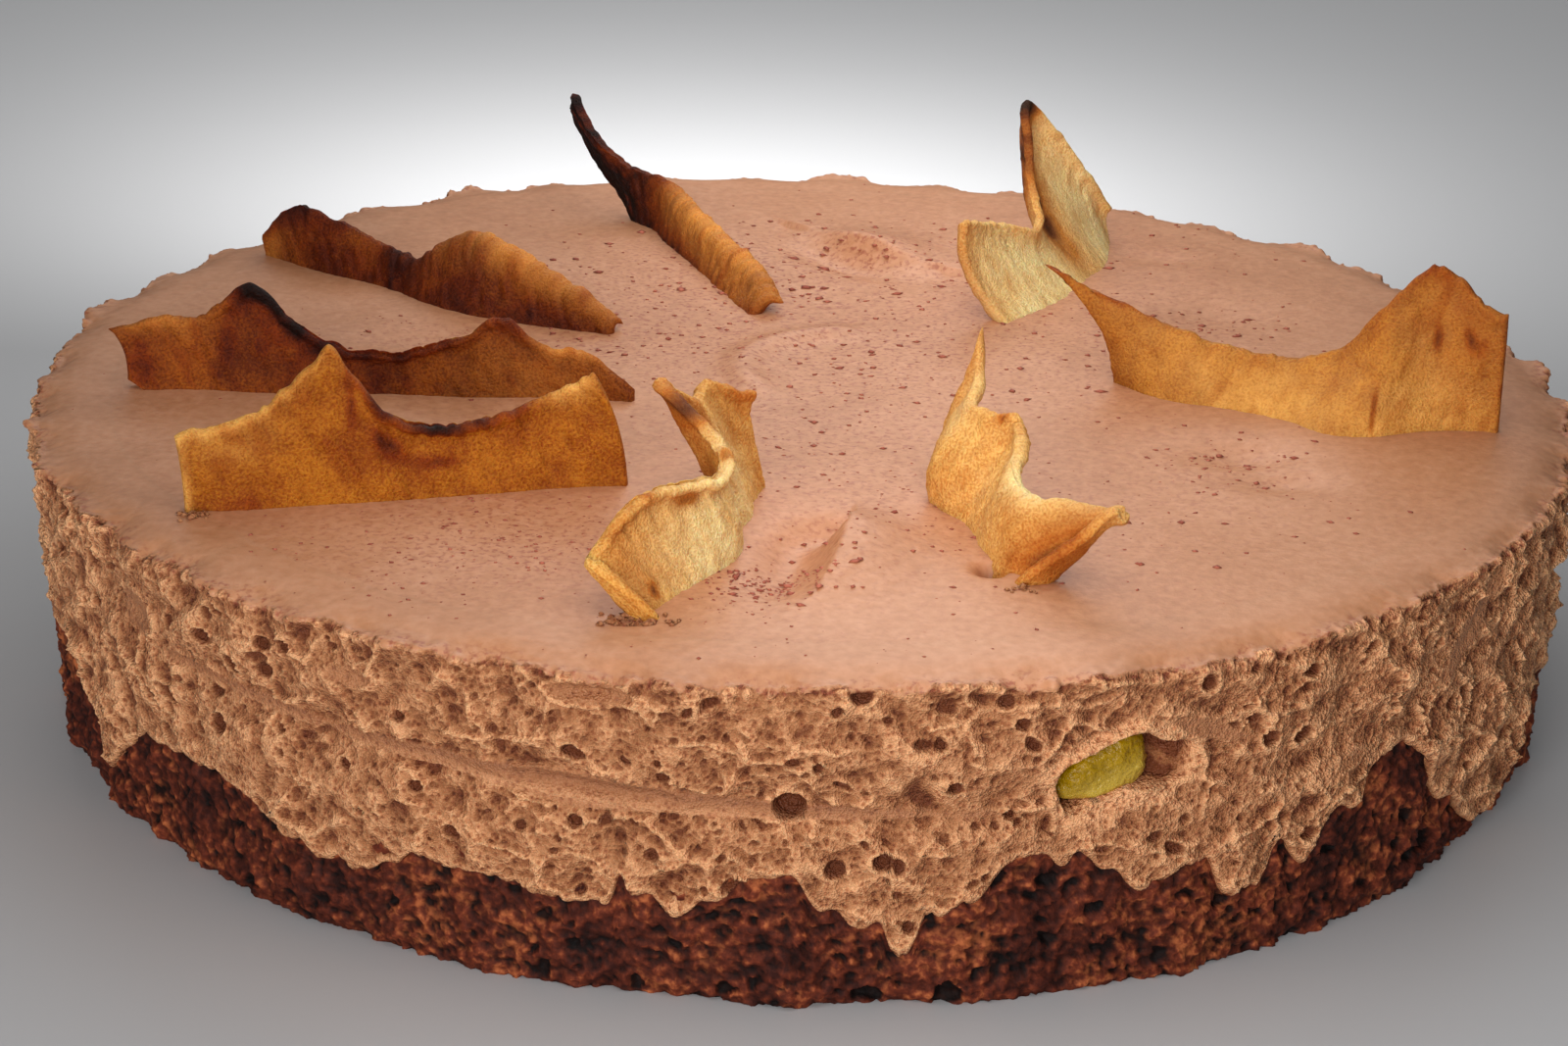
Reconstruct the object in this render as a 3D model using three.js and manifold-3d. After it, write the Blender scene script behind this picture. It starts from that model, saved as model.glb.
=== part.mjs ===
// A round chocolate mousse cake: a dark sponge base, a thick body of set mousse with a torn
// side, a ragged rim and a swirled top, one chunk of fruit that shows in the side, and eight
// dried fruit crisps that stand on edge in the top, all pointing at the middle.
// Millimetres and degrees, +Z up. The origin is the middle of the flat underside, and -Y is
// the front. Angles run anticlockwise from +X.

import * as THREE from 'three';
import Module from 'manifold-3d';

// Driving dimensions of the cake.
const CAKE_HEIGHT = 45; // of the smooth top over the table
const RIM_RADIUS = 110; // of the top edge, before its ragged teeth
const FOOT_RADIUS = 107.2; // the side draws in towards the table
const SPONGE_INSET = 0.9; // the sponge's side stands back behind the mousse
const SPONGE_HEIGHT = 20; // of the sponge under the mousse, away from the side
const EDGE_HEIGHT = 17; // mean height at which the mousse ends on the sponge's side
const LEVEL_SHARE = 0.86; // of the radius within which mousse and sponge meet on a level
const CLEARANCE = 0.3; // between pieces that touch

// Relief of the torn side and the rim.
const TEAR_DEPTH = 1.1;
const TEAR_SPACING = 7;
const TOOTH_REACH = 1.5; // how far the rim's teeth stand out
const TOOTH_RISE = 0.8;
const CRUMB_DEPTH = 0.6;
const CRUMB_SPACING = 5;
const SEAM = { left: -143, right: -72, leftHeight: 31, rightHeight: 26, depth: 0.9, halfWidth: 3 };

// Where the mousse hangs lower on the sponge's side (deep above 0) or stops short of its usual
// edge (deep below 0). Those from -149 to -28.5 degrees are the front; the rest keep its rhythm.
const LOBES = [
  { at: -162, deep: -2, half: 5 },
  { at: -149, deep: 10, half: 4 },
  { at: -122, deep: 6, half: 8 },
  { at: -104, deep: 4.5, half: 8 },
  { at: -90.5, deep: -2.5, half: 3 },
  { at: -83, deep: 9.5, half: 3 },
  { at: -72.5, deep: -4.5, half: 4 },
  { at: -66, deep: 3.5, half: 2.5 },
  { at: -59, deep: 7, half: 2.5 },
  { at: -44.5, deep: -7, half: 5 },
  { at: -28.5, deep: 14, half: 8 },
  { at: -8, deep: 4, half: 7 },
  { at: 16, deep: 7, half: 5 },
  { at: 38, deep: -4, half: 6 },
  { at: 62, deep: 8, half: 5 },
  { at: 85, deep: 3, half: 8 },
  { at: 108, deep: 9, half: 4 },
  { at: 130, deep: -4, half: 6 },
  { at: 152, deep: 7, half: 6 },
  { at: 176, deep: 4, half: 8 },
];

// The swirl marks of the top. A fold is a ridge along a curve, steep and hollow on its left
// and gentle on its right, and highest at its peak, a share of the way along. The first is
// the swoosh at the front that ends in a point. The arc is a low round step.
const FOLDS = [
  { from: [-7, -92], bend: [3.6, -90.5], to: [5.8, -67], rise: 4, steep: 2.6, gentle: 9, peak: 1 },
  { from: [18, 57], bend: [10, 62], to: [1, 73], rise: 3, steep: 2.6, gentle: 8, peak: 0.5 },
];
const ARC = { centre: [10, 4], radius: 19, start: 115, end: 195, rise: 1.3, half: 3 };
const DENTS = [
  { at: [61, -27], half: [7, 5], depth: 1.5 },
  { at: [65, -37], half: [6, 4], depth: 1.2 },
  { at: [63, 36], half: [9, 7], depth: 1.2 },
  { at: [57, 63], half: [6, 4], depth: 0.8 },
  { at: [-52, 12], half: [14, 5], depth: 1 },
];

// The fruit chunk in the side, tilted up to the right, and the hollow that opens beside it.
const FRUIT = { angle: -69.3, height: 30, tilt: 22, width: 13, tall: 8.5, deep: 11, recess: 1 };
const HOLLOW = { angle: -65.2, height: 30.5, tilt: 0, width: 9, tall: 6, deep: 8, recess: 0 };

// A crisp is a dried slice of fruit on its skin edge, 1.7 mm thick there and 1.1 mm at its
// curled crest. Its foot runs from the outer end to the inner end. Stations along it give the
// height of the crest (rise), the crest's lean and the foot's sway to the left of that line,
// how far the foot lifts clear, how far the crest runs ahead (lag) and the bulge between.
const CRISP_FOOT_THICKNESS = 1.7;
const CRISP_CREST_THICKNESS = 1.1;
const CRISP_SUNK = 3.5; // depth of the foot in the mousse
const CRISPS = {
  crisp_front_left: {
    outer: [-80, -60],
    inner: [-23, -46.5],
    stations: [
      { at: 0, rise: 10.5, lean: 1, lag: -1 },
      { at: 0.18, rise: 14, lean: 1, sway: -0.5 },
      { at: 0.29, rise: 19.5, lean: 1, sway: -0.5 },
      { at: 0.33, rise: 21.5, lean: 1, sway: -0.5 },
      { at: 0.38, rise: 17.5, lean: 1, sway: -0.5 },
      { at: 0.44, rise: 13.2, lean: 1, sway: -0.5 },
      { at: 0.52, rise: 11, lean: 1.5, sway: -0.5 },
      { at: 0.68, rise: 11, lean: 2 },
      { at: 0.82, rise: 12.6, lean: 2, sway: 0.5, lag: -1 },
      { at: 1, rise: 15.8, lean: 1, lag: -4.5 },
    ],
  },
  crisp_left: {
    outer: [-96, -11],
    inner: [-24, -11],
    stations: [
      { at: 0, rise: 7.5, lean: 3, lift: 4.5, lag: -3 },
      { at: 0.06, rise: 9.8, lean: 3, sway: -0.5, lift: 2, lag: -1 },
      { at: 0.15, rise: 10.5, lean: 3, sway: -0.5 },
      { at: 0.25, rise: 15.8, lean: 3, sway: -0.5 },
      { at: 0.33, rise: 10, lean: 3, sway: -0.5 },
      { at: 0.5, rise: 5.5, lean: 3, sway: -0.5 },
      { at: 0.66, rise: 8.6, lean: 3 },
      { at: 0.74, rise: 11.2, lean: 3 },
      { at: 0.82, rise: 7, lean: 2 },
      { at: 0.91, rise: 6, lean: 2 },
      { at: 1, rise: 1, lean: 1 },
    ],
  },
  crisp_back_left: {
    outer: [-85, 53],
    inner: [-29, 18.3],
    stations: [
      { at: 0, rise: 3, lift: 2, lag: -1 },
      { at: 0.06, rise: 8, lean: 1, sway: -1, lift: 2 },
      { at: 0.22, rise: 8, lean: 2, sway: -2, lift: 1.5 },
      { at: 0.34, rise: 5.8, lean: 4, sway: -3 },
      { at: 0.47, rise: 5.8, lean: 5, sway: -5 },
      { at: 0.54, rise: 10, lean: 6, sway: -6 },
      { at: 0.78, rise: 7.5, lean: 6, sway: -5 },
      { at: 0.93, rise: 4, lean: 3, sway: -2 },
      { at: 1, rise: 1.5, lean: 1 },
    ],
  },
  crisp_back: {
    outer: [-33, 94],
    inner: [-10, 29.5],
    stations: [
      { at: 0, rise: 17, lean: -1, sway: -6, lift: 15.5 },
      { at: 0.09, rise: 12, lean: -1, sway: -4, lift: 9.5 },
      { at: 0.19, rise: 8.5, lean: 0, sway: -1.5, lift: 4.5 },
      { at: 0.28, rise: 8, lean: 1.5 },
      { at: 0.45, rise: 6.8, lean: 2.5 },
      { at: 0.7, rise: 5.5, lean: 3.5 },
      { at: 0.9, rise: 4.5, lean: 4.5 },
      { at: 1, rise: 2.5, lean: 4.5 },
    ],
  },
  crisp_back_right: {
    outer: [50, 74],
    inner: [33, 27],
    stations: [
      { at: 0, rise: 5, lean: -1.5, belly: -1 },
      { at: 0.1, rise: 11.8, lean: -6.5, sway: 2, belly: -1.5 },
      { at: 0.22, rise: 20.2, lean: -12.8, sway: 4, belly: -3 },
      { at: 0.33, rise: 26, lean: -17.8, sway: 5.2, belly: -4 },
      { at: 0.42, rise: 17, lean: -15.5, sway: 5.6, belly: -4 },
      { at: 0.55, rise: 10.2, lean: -11, sway: 5.6, belly: -3 },
      { at: 0.75, rise: 12, lean: -13, sway: 4, belly: -2 },
      { at: 1, rise: 15.2, lean: -11, belly: -3 },
    ],
  },
  crisp_right: {
    outer: [98, -15],
    inner: [45.5, 3],
    stations: [
      { at: 0, rise: 17.5 },
      { at: 0.06, rise: 18.5, lean: -1, sway: 1 },
      { at: 0.2, rise: 23, lean: -6, sway: 5 },
      { at: 0.3, rise: 17, lean: -10, sway: 11 },
      { at: 0.4, rise: 10, lean: -14, sway: 14 },
      { at: 0.5, rise: 7.5, lean: -10, sway: 10.5 },
      { at: 0.65, rise: 7, lean: -7, sway: 7 },
      { at: 0.85, rise: 10, lean: -6, sway: 6, lag: 3 },
      { at: 1, rise: 15.9, lag: 12 },
    ],
  },
  crisp_front: {
    outer: [-15.8, -91.2],
    inner: [-4.9, -46],
    stations: [
      { at: 0, rise: 6.7, lean: 10.5, belly: 1 },
      { at: 0.12, rise: 13, lean: 8, belly: 1 },
      { at: 0.28, rise: 13.2, lean: 5, sway: -1 },
      { at: 0.42, rise: 12.4, lean: 3, sway: -2, belly: -1 },
      { at: 0.52, rise: 13.8, lean: 3, sway: -2, belly: -1 },
      { at: 0.58, rise: 16.2, lean: 6, sway: -2, belly: -1 },
      { at: 0.64, rise: 20, lean: 12.5, sway: -2, belly: -1 },
      { at: 0.72, rise: 16.5, lean: 9, sway: -2, belly: -1 },
      { at: 0.86, rise: 17, lean: 8, sway: -1 },
      { at: 1, rise: 14, lean: 3 },
    ],
  },
  crisp_front_right: {
    outer: [26.2, -78],
    inner: [18, -45],
    stations: [
      { at: 0, rise: 10, lean: -13.5, lag: -2, belly: -1 },
      { at: 0.09, rise: 10, lean: -7.6 },
      { at: 0.16, rise: 9.6, lean: -4.2 },
      { at: 0.26, rise: 10.2, lean: -2.6 },
      { at: 0.38, rise: 11.4, lean: -3 },
      { at: 0.5, rise: 12.6, lean: -6.6 },
      { at: 0.64, rise: 14.5, lean: -8.8, belly: 1 },
      { at: 0.78, rise: 14, lean: -5.5, belly: 3 },
      { at: 0.88, rise: 13.8, lean: -4, lag: 1, belly: 3.5 },
      { at: 0.95, rise: 16, lean: -6.5, lag: 4, belly: 3 },
      { at: 1, rise: 20, lean: -8, lag: 8, belly: 2 },
    ],
  },
};

// How finely the faceted solids follow those forms.
const STEPS_AROUND = 108;
const CRISP_STEP = 0.085; // longest step along a crisp, as a share of its length
const CRISP_ROWS = 4;

const DEGREE = Math.PI / 180;

function smoothstep(low, high, value) {
  const t = THREE.MathUtils.clamp((value - low) / (high - low), 0, 1);
  return t * t * (3 - 2 * t);
}

function hump(distance, half) {
  return Math.exp(-((distance / half) ** 2));
}

// Smooth noise from -1 to 1: a random height at each whole-number point, blended between.
function noise(x, y, z) {
  const height = (i, j, k) => {
    const wave = Math.sin(i * 127.1 + j * 311.7 + k * 74.7) * 43758.5453;
    return 2 * (wave - Math.floor(wave)) - 1;
  };
  const [i, j, k] = [x, y, z].map(Math.floor);
  const [u, v, w] = [x - i, y - j, z - k].map((t) => t * t * (3 - 2 * t));
  let sum = 0;
  for (const a of [0, 1]) {
    for (const b of [0, 1]) {
      for (const c of [0, 1]) {
        const weight = (a ? u : 1 - u) * (b ? v : 1 - v) * (c ? w : 1 - w);
        sum += weight * height(i + a, j + b, k + c);
      }
    }
  }
  return sum;
}

function angleBetween(a, b) {
  return Math.abs(THREE.MathUtils.euclideanModulo(a - b + 180, 360) - 180);
}

// Height of the mousse's lower edge on the side of the cake, at an angle in degrees.
function edgeHeight(angle) {
  const deep = (lobe) => lobe.deep * hump(angleBetween(angle, lobe.at), lobe.half);
  return LOBES.reduce((sum, lobe) => sum - deep(lobe), EDGE_HEIGHT);
}

// Teeth of the rim, from -0.6 to 1: narrow points that stand up between wide shallow notches.
function rimTooth(angle) {
  const wave = 0.5 * Math.sin(9 * angle * DEGREE + 1) + 0.5 * Math.sin(23 * angle * DEGREE + 4);
  const tear = 0.5 * Math.sin(41 * angle * DEGREE + 2);
  return THREE.MathUtils.clamp(wave * Math.abs(wave) + tear, -0.6, 1);
}

// Radius of the mousse's side: the drawn-in wall, torn foam and the smeared pour line.
function wallRadius(angle, z) {
  const plain = THREE.MathUtils.lerp(FOOT_RADIUS, RIM_RADIUS, z / CAKE_HEIGHT);
  const x = plain * Math.cos(angle * DEGREE);
  const y = plain * Math.sin(angle * DEGREE);
  const tear = TEAR_DEPTH * noise(x / TEAR_SPACING, y / TEAR_SPACING, z / TEAR_SPACING);
  const share = (angle - SEAM.left) / (SEAM.right - SEAM.left);
  const seamHeight = THREE.MathUtils.lerp(SEAM.leftHeight, SEAM.rightHeight, share);
  const onSeam = smoothstep(-0.1, 0.1, share) * (1 - smoothstep(0.9, 1.1, share));
  const groove = SEAM.depth * hump(z - seamHeight, SEAM.halfWidth) * onSeam;
  const tooth = TOOTH_REACH * rimTooth(angle) * smoothstep(CAKE_HEIGHT - 5, CAKE_HEIGHT, z);
  return plain + tear * (1 - 0.7 * onSeam * hump(z - seamHeight, 4)) - groove + tooth;
}

const foldPaths = FOLDS.map(({ from, bend, to }) => {
  const [start, middle, end] = [from, bend, to].map((point) => new THREE.Vector2(...point));
  return new THREE.QuadraticBezierCurve(start, middle, end);
});

// Height of one fold at a point: found from the nearest point of its curve and the side of it.
function foldHeight(fold, path, x, y) {
  const samples = 24;
  let near = { distance: Infinity };
  for (let i = 0; i <= samples; i += 1) {
    const along = i / samples;
    const spot = path.getPoint(along);
    const distance = Math.hypot(x - spot.x, y - spot.y);
    if (distance < near.distance) near = { distance, along, spot };
  }
  const ahead = path.getTangent(near.along);
  const left = ahead.x * (y - near.spot.y) - ahead.y * (x - near.spot.x) > 0;
  const crest = fold.rise * hump(near.distance, left ? fold.steep : fold.gentle);
  const hollow = left ? 0.3 * fold.rise * hump(near.distance - 2.4 * fold.steep, 1.6 * fold.steep) : 0;
  return (crest - hollow) * hump(near.along - fold.peak, 0.45);
}

// Height of the mousse's top: gentle swells, the folds, the arc and the dents, and an edge
// that rolls off into the ragged rim.
function topHeight(x, y) {
  const radius = Math.hypot(x, y);
  const angle = Math.atan2(y, x) / DEGREE;
  const swell = 0.7 * noise(x / 34 + 3, y / 26, 1.5) + 0.3 * noise(x / 12, y / 12 + 5, 4.5);
  const folds = FOLDS.reduce((sum, fold, i) => sum + foldHeight(fold, foldPaths[i], x, y), 0);
  const [arcX, arcY] = [x - ARC.centre[0], y - ARC.centre[1]];
  const arcAngle = THREE.MathUtils.euclideanModulo(Math.atan2(arcY, arcX) / DEGREE, 360);
  const fadeIn = smoothstep(ARC.start - 30, ARC.start, arcAngle);
  const fadeOut = 1 - smoothstep(ARC.end, ARC.end + 40, arcAngle);
  const arc = ARC.rise * hump(Math.hypot(arcX, arcY) - ARC.radius, ARC.half) * fadeIn * fadeOut;
  const dents = DENTS.reduce((sum, dent) => {
    const [dx, dy] = [(x - dent.at[0]) / dent.half[0], (y - dent.at[1]) / dent.half[1]];
    return sum + dent.depth * hump(Math.hypot(dx, dy), 1);
  }, 0);
  const roll = 1.1 * smoothstep(RIM_RADIUS - 9, RIM_RADIUS, radius) ** 2;
  const tooth = TOOTH_RISE * rimTooth(angle) * smoothstep(RIM_RADIUS - 4, RIM_RADIUS, radius);
  return CAKE_HEIGHT + swell + folds + arc - dents - roll + tooth;
}

// The surface where mousse meets sponge: level in the middle, then down or up to the edge.
function layerHeight(share, angle) {
  return THREE.MathUtils.lerp(SPONGE_HEIGHT, edgeHeight(angle), smoothstep(LEVEL_SHARE, 1, share));
}

const angles = Array.from({ length: STEPS_AROUND }, (_, j) => (j * 360) / STEPS_AROUND - 180);

function polar(radius, angle, z) {
  return new THREE.Vector3(radius * Math.cos(angle * DEGREE), radius * Math.sin(angle * DEGREE), z);
}

// A closed skin through rings of points, from a top pole to a bottom pole. Crossed turns the
// diagonals of its quads the other way, so that two skins can share a surface.
function skin(rings, topPole, bottomPole, crossed = false) {
  const count = rings[0].length;
  const points = [...rings.flat(), topPole, bottomPole];
  const index = [];
  const at = (i, j) => i * count + (j % count);
  const top = points.length - 2;
  const bottom = points.length - 1;
  for (let j = 0; j < count; j += 1) {
    index.push(top, at(0, j), at(0, j + 1));
    for (let i = 0; i < rings.length - 1; i += 1) {
      const [a, b, c, d] = [at(i, j), at(i + 1, j), at(i + 1, j + 1), at(i, j + 1)];
      index.push(...(crossed ? [a, b, d, b, c, d] : [a, b, c, a, c, d]));
    }
    index.push(bottom, at(rings.length - 1, j + 1), at(rings.length - 1, j));
  }
  const geometry = new THREE.BufferGeometry().setFromPoints(points);
  geometry.setIndex(index);
  return geometry;
}

const LAYER_SHARES = [LEVEL_SHARE, 0.9, 0.94, 0.975];

// The body of mousse: top, side down to its lobed edge, and the underside on the sponge.
function mousseGeometry() {
  const topRadii = [11, 19, 27, 35, 42, 49, 56, 63, 70, 77, 84, 91, 97, 102, 106];
  const rings = topRadii.map((radius) =>
    angles.map((angle) => {
      const point = polar(radius, angle, 0);
      return point.setZ(topHeight(point.x, point.y));
    }),
  );
  const sideSteps = 8;
  for (let i = 0; i <= sideSteps; i += 1) {
    rings.push(
      angles.map((angle) => {
        const rim = polar(RIM_RADIUS, angle, 0);
        const high = topHeight(rim.x, rim.y);
        const z = THREE.MathUtils.lerp(high, edgeHeight(angle), i / sideSteps);
        return polar(wallRadius(angle, Math.min(z, CAKE_HEIGHT)), angle, z);
      }),
    );
  }
  for (const share of LAYER_SHARES.toReversed()) {
    rings.push(
      angles.map((angle) => {
        const radius = share * wallRadius(angle, edgeHeight(angle));
        return polar(radius, angle, layerHeight(share, angle));
      }),
    );
  }
  const crown = new THREE.Vector3(0, 0, topHeight(0, 0));
  return skin(rings, crown, new THREE.Vector3(0, 0, SPONGE_HEIGHT));
}

// The sponge base: its top follows the mousse, its side is crumbly and its underside is flat.
function spongeGeometry() {
  const rings = LAYER_SHARES.map((share) =>
    angles.map((angle) => {
      const radius = share * wallRadius(angle, edgeHeight(angle));
      return polar(radius, angle, layerHeight(share, angle) - CLEARANCE);
    }),
  );
  const sideSteps = 4;
  for (let i = 0; i <= sideSteps; i += 1) {
    rings.push(
      angles.map((angle) => {
        const wall = wallRadius(angle, edgeHeight(angle));
        const inner = LAYER_SHARES.at(-1);
        const outward = 1 - SPONGE_INSET / wall / (1 - inner);
        const top = THREE.MathUtils.lerp(layerHeight(inner, angle), edgeHeight(angle), outward) - CLEARANCE;
        const z = top * (1 - i / sideSteps);
        const plain = wall - SPONGE_INSET - (CRUMB_DEPTH * i) / sideSteps;
        const { x, y } = polar(plain, angle, z);
        const crumb = noise(x / CRUMB_SPACING, y / CRUMB_SPACING, z / CRUMB_SPACING + 9);
        return polar(plain + (i > 0 ? CRUMB_DEPTH * crumb : 0), angle, z);
      }),
    );
  }
  const middle = new THREE.Vector3(0, 0, SPONGE_HEIGHT - CLEARANCE);
  return skin(rings, middle, new THREE.Vector3(0, 0, 0), true);
}

// A block with rounded corners and a slightly lumpy surface, set in the side of the cake.
// Grow makes room round it, and reach pushes its outer face out through the side.
function blockGeometry(block, grow = 0, reach = 0) {
  const round = (value) => Math.sign(value) * Math.abs(value) ** 0.55;
  const steps = { around: 18, up: 9 };
  const middleRadius = wallRadius(block.angle, block.height) - block.recess - block.deep / 2;
  const centre = polar(middleRadius, block.angle, block.height);
  const point = (turn, tilt) => {
    const outward = round(Math.cos(turn) * Math.cos(tilt));
    const aside = round(Math.sin(turn) * Math.cos(tilt));
    const up = round(Math.sin(tilt));
    const lump = 1 + 0.05 * noise(3 * outward + 7, 3 * aside, 3 * up);
    const local = new THREE.Vector3(
      (block.deep / 2) * lump * outward + grow * outward + (outward > 0.01 ? reach : 0),
      (block.width / 2) * lump * aside + grow * aside,
      (block.tall / 2) * lump * up * (1 - 0.12 * aside) + grow * up,
    );
    local.applyAxisAngle(new THREE.Vector3(1, 0, 0), block.tilt * DEGREE);
    return local.applyAxisAngle(new THREE.Vector3(0, 0, 1), block.angle * DEGREE).add(centre);
  };
  const rings = [];
  for (let i = 1; i < steps.up; i += 1) {
    const tilt = Math.PI / 2 - (Math.PI * i) / steps.up;
    rings.push(Array.from({ length: steps.around }, (_, j) => point((2 * Math.PI * j) / steps.around, tilt)));
  }
  return skin(rings, point(0, Math.PI / 2 - 1e-6), point(0, 1e-6 - Math.PI / 2));
}

// A value along a crisp: a smooth curve through the stations, with the slope at each station
// weighed from its two neighbours by their distances.
function alongStations(stations, name, at) {
  const value = (i) => stations[i][name] ?? 0;
  const last = stations.length - 1;
  const slope = (i) => {
    const before = (j) => (value(j) - value(j - 1)) / (stations[j].at - stations[j - 1].at);
    if (i === 0) return before(1);
    if (i === last) return before(last);
    const [left, right] = [stations[i].at - stations[i - 1].at, stations[i + 1].at - stations[i].at];
    return (before(i) * right + before(i + 1) * left) / (left + right);
  };
  const i = Math.min(last - 1, Math.max(0, stations.findLastIndex((station) => station.at <= at)));
  const span = stations[i + 1].at - stations[i].at;
  const t = THREE.MathUtils.clamp((at - stations[i].at) / span, 0, 1);
  const [t2, t3] = [t * t, t * t * t];
  return (
    (2 * t3 - 3 * t2 + 1) * value(i) +
    (t3 - 2 * t2 + t) * span * slope(i) +
    (3 * t2 - 2 * t3) * value(i + 1) +
    (t3 - t2) * span * slope(i + 1)
  );
}

// A point of a crisp's middle sheet: u runs from its outer to its inner end, v from foot to crest.
function crispPoint(crisp, u, v) {
  const outer = new THREE.Vector2(...crisp.outer);
  const foot = new THREE.Vector2(...crisp.inner).sub(outer);
  const length = foot.length();
  const along = foot.normalize();
  const value = (name) => alongStations(crisp.stations, name, u);
  const ahead = u * length + value('lag') * v ** 2.5;
  const aside = value('sway') + value('lean') * v + value('belly') * Math.sin(Math.PI * v);
  const low = value('lift') - CRISP_SUNK;
  const z = CAKE_HEIGHT + THREE.MathUtils.lerp(low, value('rise'), v);
  const x = outer.x + ahead * along.x - aside * along.y;
  const y = outer.y + ahead * along.y + aside * along.x;
  return new THREE.Vector3(x, y, z);
}

// Where a crisp's grid has its columns: at every station, with even steps between them.
function crispColumns(stations) {
  const columns = [0];
  for (let i = 1; i < stations.length; i += 1) {
    const [from, to] = [stations[i - 1].at, stations[i].at];
    const steps = Math.ceil((to - from) / CRISP_STEP);
    for (let step = 1; step <= steps; step += 1) columns.push(THREE.MathUtils.lerp(from, to, step / steps));
  }
  return columns;
}

// A crisp as a closed thin solid: both faces are the same grid, set apart by its thickness.
function crispGeometry(crisp, grow = 0) {
  const columns = crispColumns(crisp.stations);
  const along = columns.length - 1;
  const small = 1e-3;
  const faces = [1, -1].map((side) => {
    const grid = [];
    for (let i = 0; i <= along; i += 1) {
      const u = columns[i];
      for (let k = 0; k <= CRISP_ROWS; k += 1) {
        const v = k / CRISP_ROWS;
        const middle = crispPoint(crisp, u, v);
        const [u0, u1] = [Math.max(0, u - small), Math.min(1, u + small)];
        const [v0, v1] = [Math.max(0, v - small), Math.min(1, v + small)];
        const across = crispPoint(crisp, u1, v).sub(crispPoint(crisp, u0, v)).normalize();
        const rising = crispPoint(crisp, u, v1).sub(crispPoint(crisp, u, v0)).normalize();
        const normal = across.clone().cross(rising).normalize();
        const half = THREE.MathUtils.lerp(CRISP_FOOT_THICKNESS, CRISP_CREST_THICKNESS, v) / 2 + grow;
        const endGrow = (i === along) - (i === 0);
        const footGrow = (k === CRISP_ROWS) - (k === 0);
        middle.addScaledVector(normal, side * half).addScaledVector(across, grow * endGrow);
        grid.push(middle.addScaledVector(rising, grow * footGrow));
      }
    }
    return grid;
  });
  const size = faces[0].length;
  const index = [];
  const at = (face, i, k) => face * size + i * (CRISP_ROWS + 1) + k;
  const quad = (a, b, c, d) => index.push(a, b, c, a, c, d);
  for (let i = 0; i < along; i += 1) {
    for (let k = 0; k < CRISP_ROWS; k += 1) {
      quad(at(0, i, k), at(0, i + 1, k), at(0, i + 1, k + 1), at(0, i, k + 1));
      quad(at(1, i, k), at(1, i, k + 1), at(1, i + 1, k + 1), at(1, i + 1, k));
    }
    quad(at(0, i, 0), at(1, i, 0), at(1, i + 1, 0), at(0, i + 1, 0));
    const top = CRISP_ROWS;
    quad(at(0, i, top), at(0, i + 1, top), at(1, i + 1, top), at(1, i, top));
  }
  for (let k = 0; k < CRISP_ROWS; k += 1) {
    quad(at(0, 0, k), at(0, 0, k + 1), at(1, 0, k + 1), at(1, 0, k));
    quad(at(0, along, k), at(1, along, k), at(1, along, k + 1), at(0, along, k + 1));
  }
  const geometry = new THREE.BufferGeometry().setFromPoints(faces.flat());
  geometry.setIndex(index);
  return geometry;
}

const wasm = await Module();
wasm.setup();

function toManifold(geometry) {
  const mesh = new wasm.Mesh({
    numProp: 3,
    vertProperties: new Float32Array(geometry.attributes.position.array),
    triVerts: new Uint32Array(geometry.index.array),
  });
  return new wasm.Manifold(mesh);
}

function fromManifold(body) {
  const { vertProperties, triVerts } = body.getMesh();
  const geometry = new THREE.BufferGeometry();
  geometry.setAttribute('position', new THREE.BufferAttribute(vertProperties, 3));
  geometry.setIndex(new THREE.BufferAttribute(triVerts, 1));
  return geometry;
}

// The mousse with a slot round each crisp's foot, and an open pocket round the fruit chunk.
function cutMousse() {
  let body = toManifold(mousseGeometry());
  for (const crisp of Object.values(CRISPS)) {
    body = body.subtract(toManifold(crispGeometry(crisp, CLEARANCE)));
  }
  for (const pocket of [blockGeometry(FRUIT, CLEARANCE, 6), blockGeometry(HOLLOW, 0, 6)]) {
    body = body.subtract(toManifold(pocket));
  }
  return fromManifold(body);
}

function finish(color, roughness) {
  return new THREE.MeshStandardMaterial({ color, roughness, metalness: 0 });
}

const cake = new THREE.Group();

function addPiece(name, geometry, material) {
  geometry.computeVertexNormals();
  const piece = new THREE.Mesh(geometry, material);
  piece.name = name;
  cake.add(piece);
}

addPiece('sponge', spongeGeometry(), finish(0x4b2820, 0.9));
addPiece('mousse', cutMousse(), finish(0xb98b74, 0.55));
addPiece('fruit_piece', blockGeometry(FRUIT), finish(0x9a8f2a, 0.35));
for (const [name, crisp] of Object.entries(CRISPS)) {
  addPiece(name, crispGeometry(crisp), finish(0xc08a45, 0.6));
}

export default cake;
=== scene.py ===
import bpy
import numpy as np
from mathutils import Matrix, Vector


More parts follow.
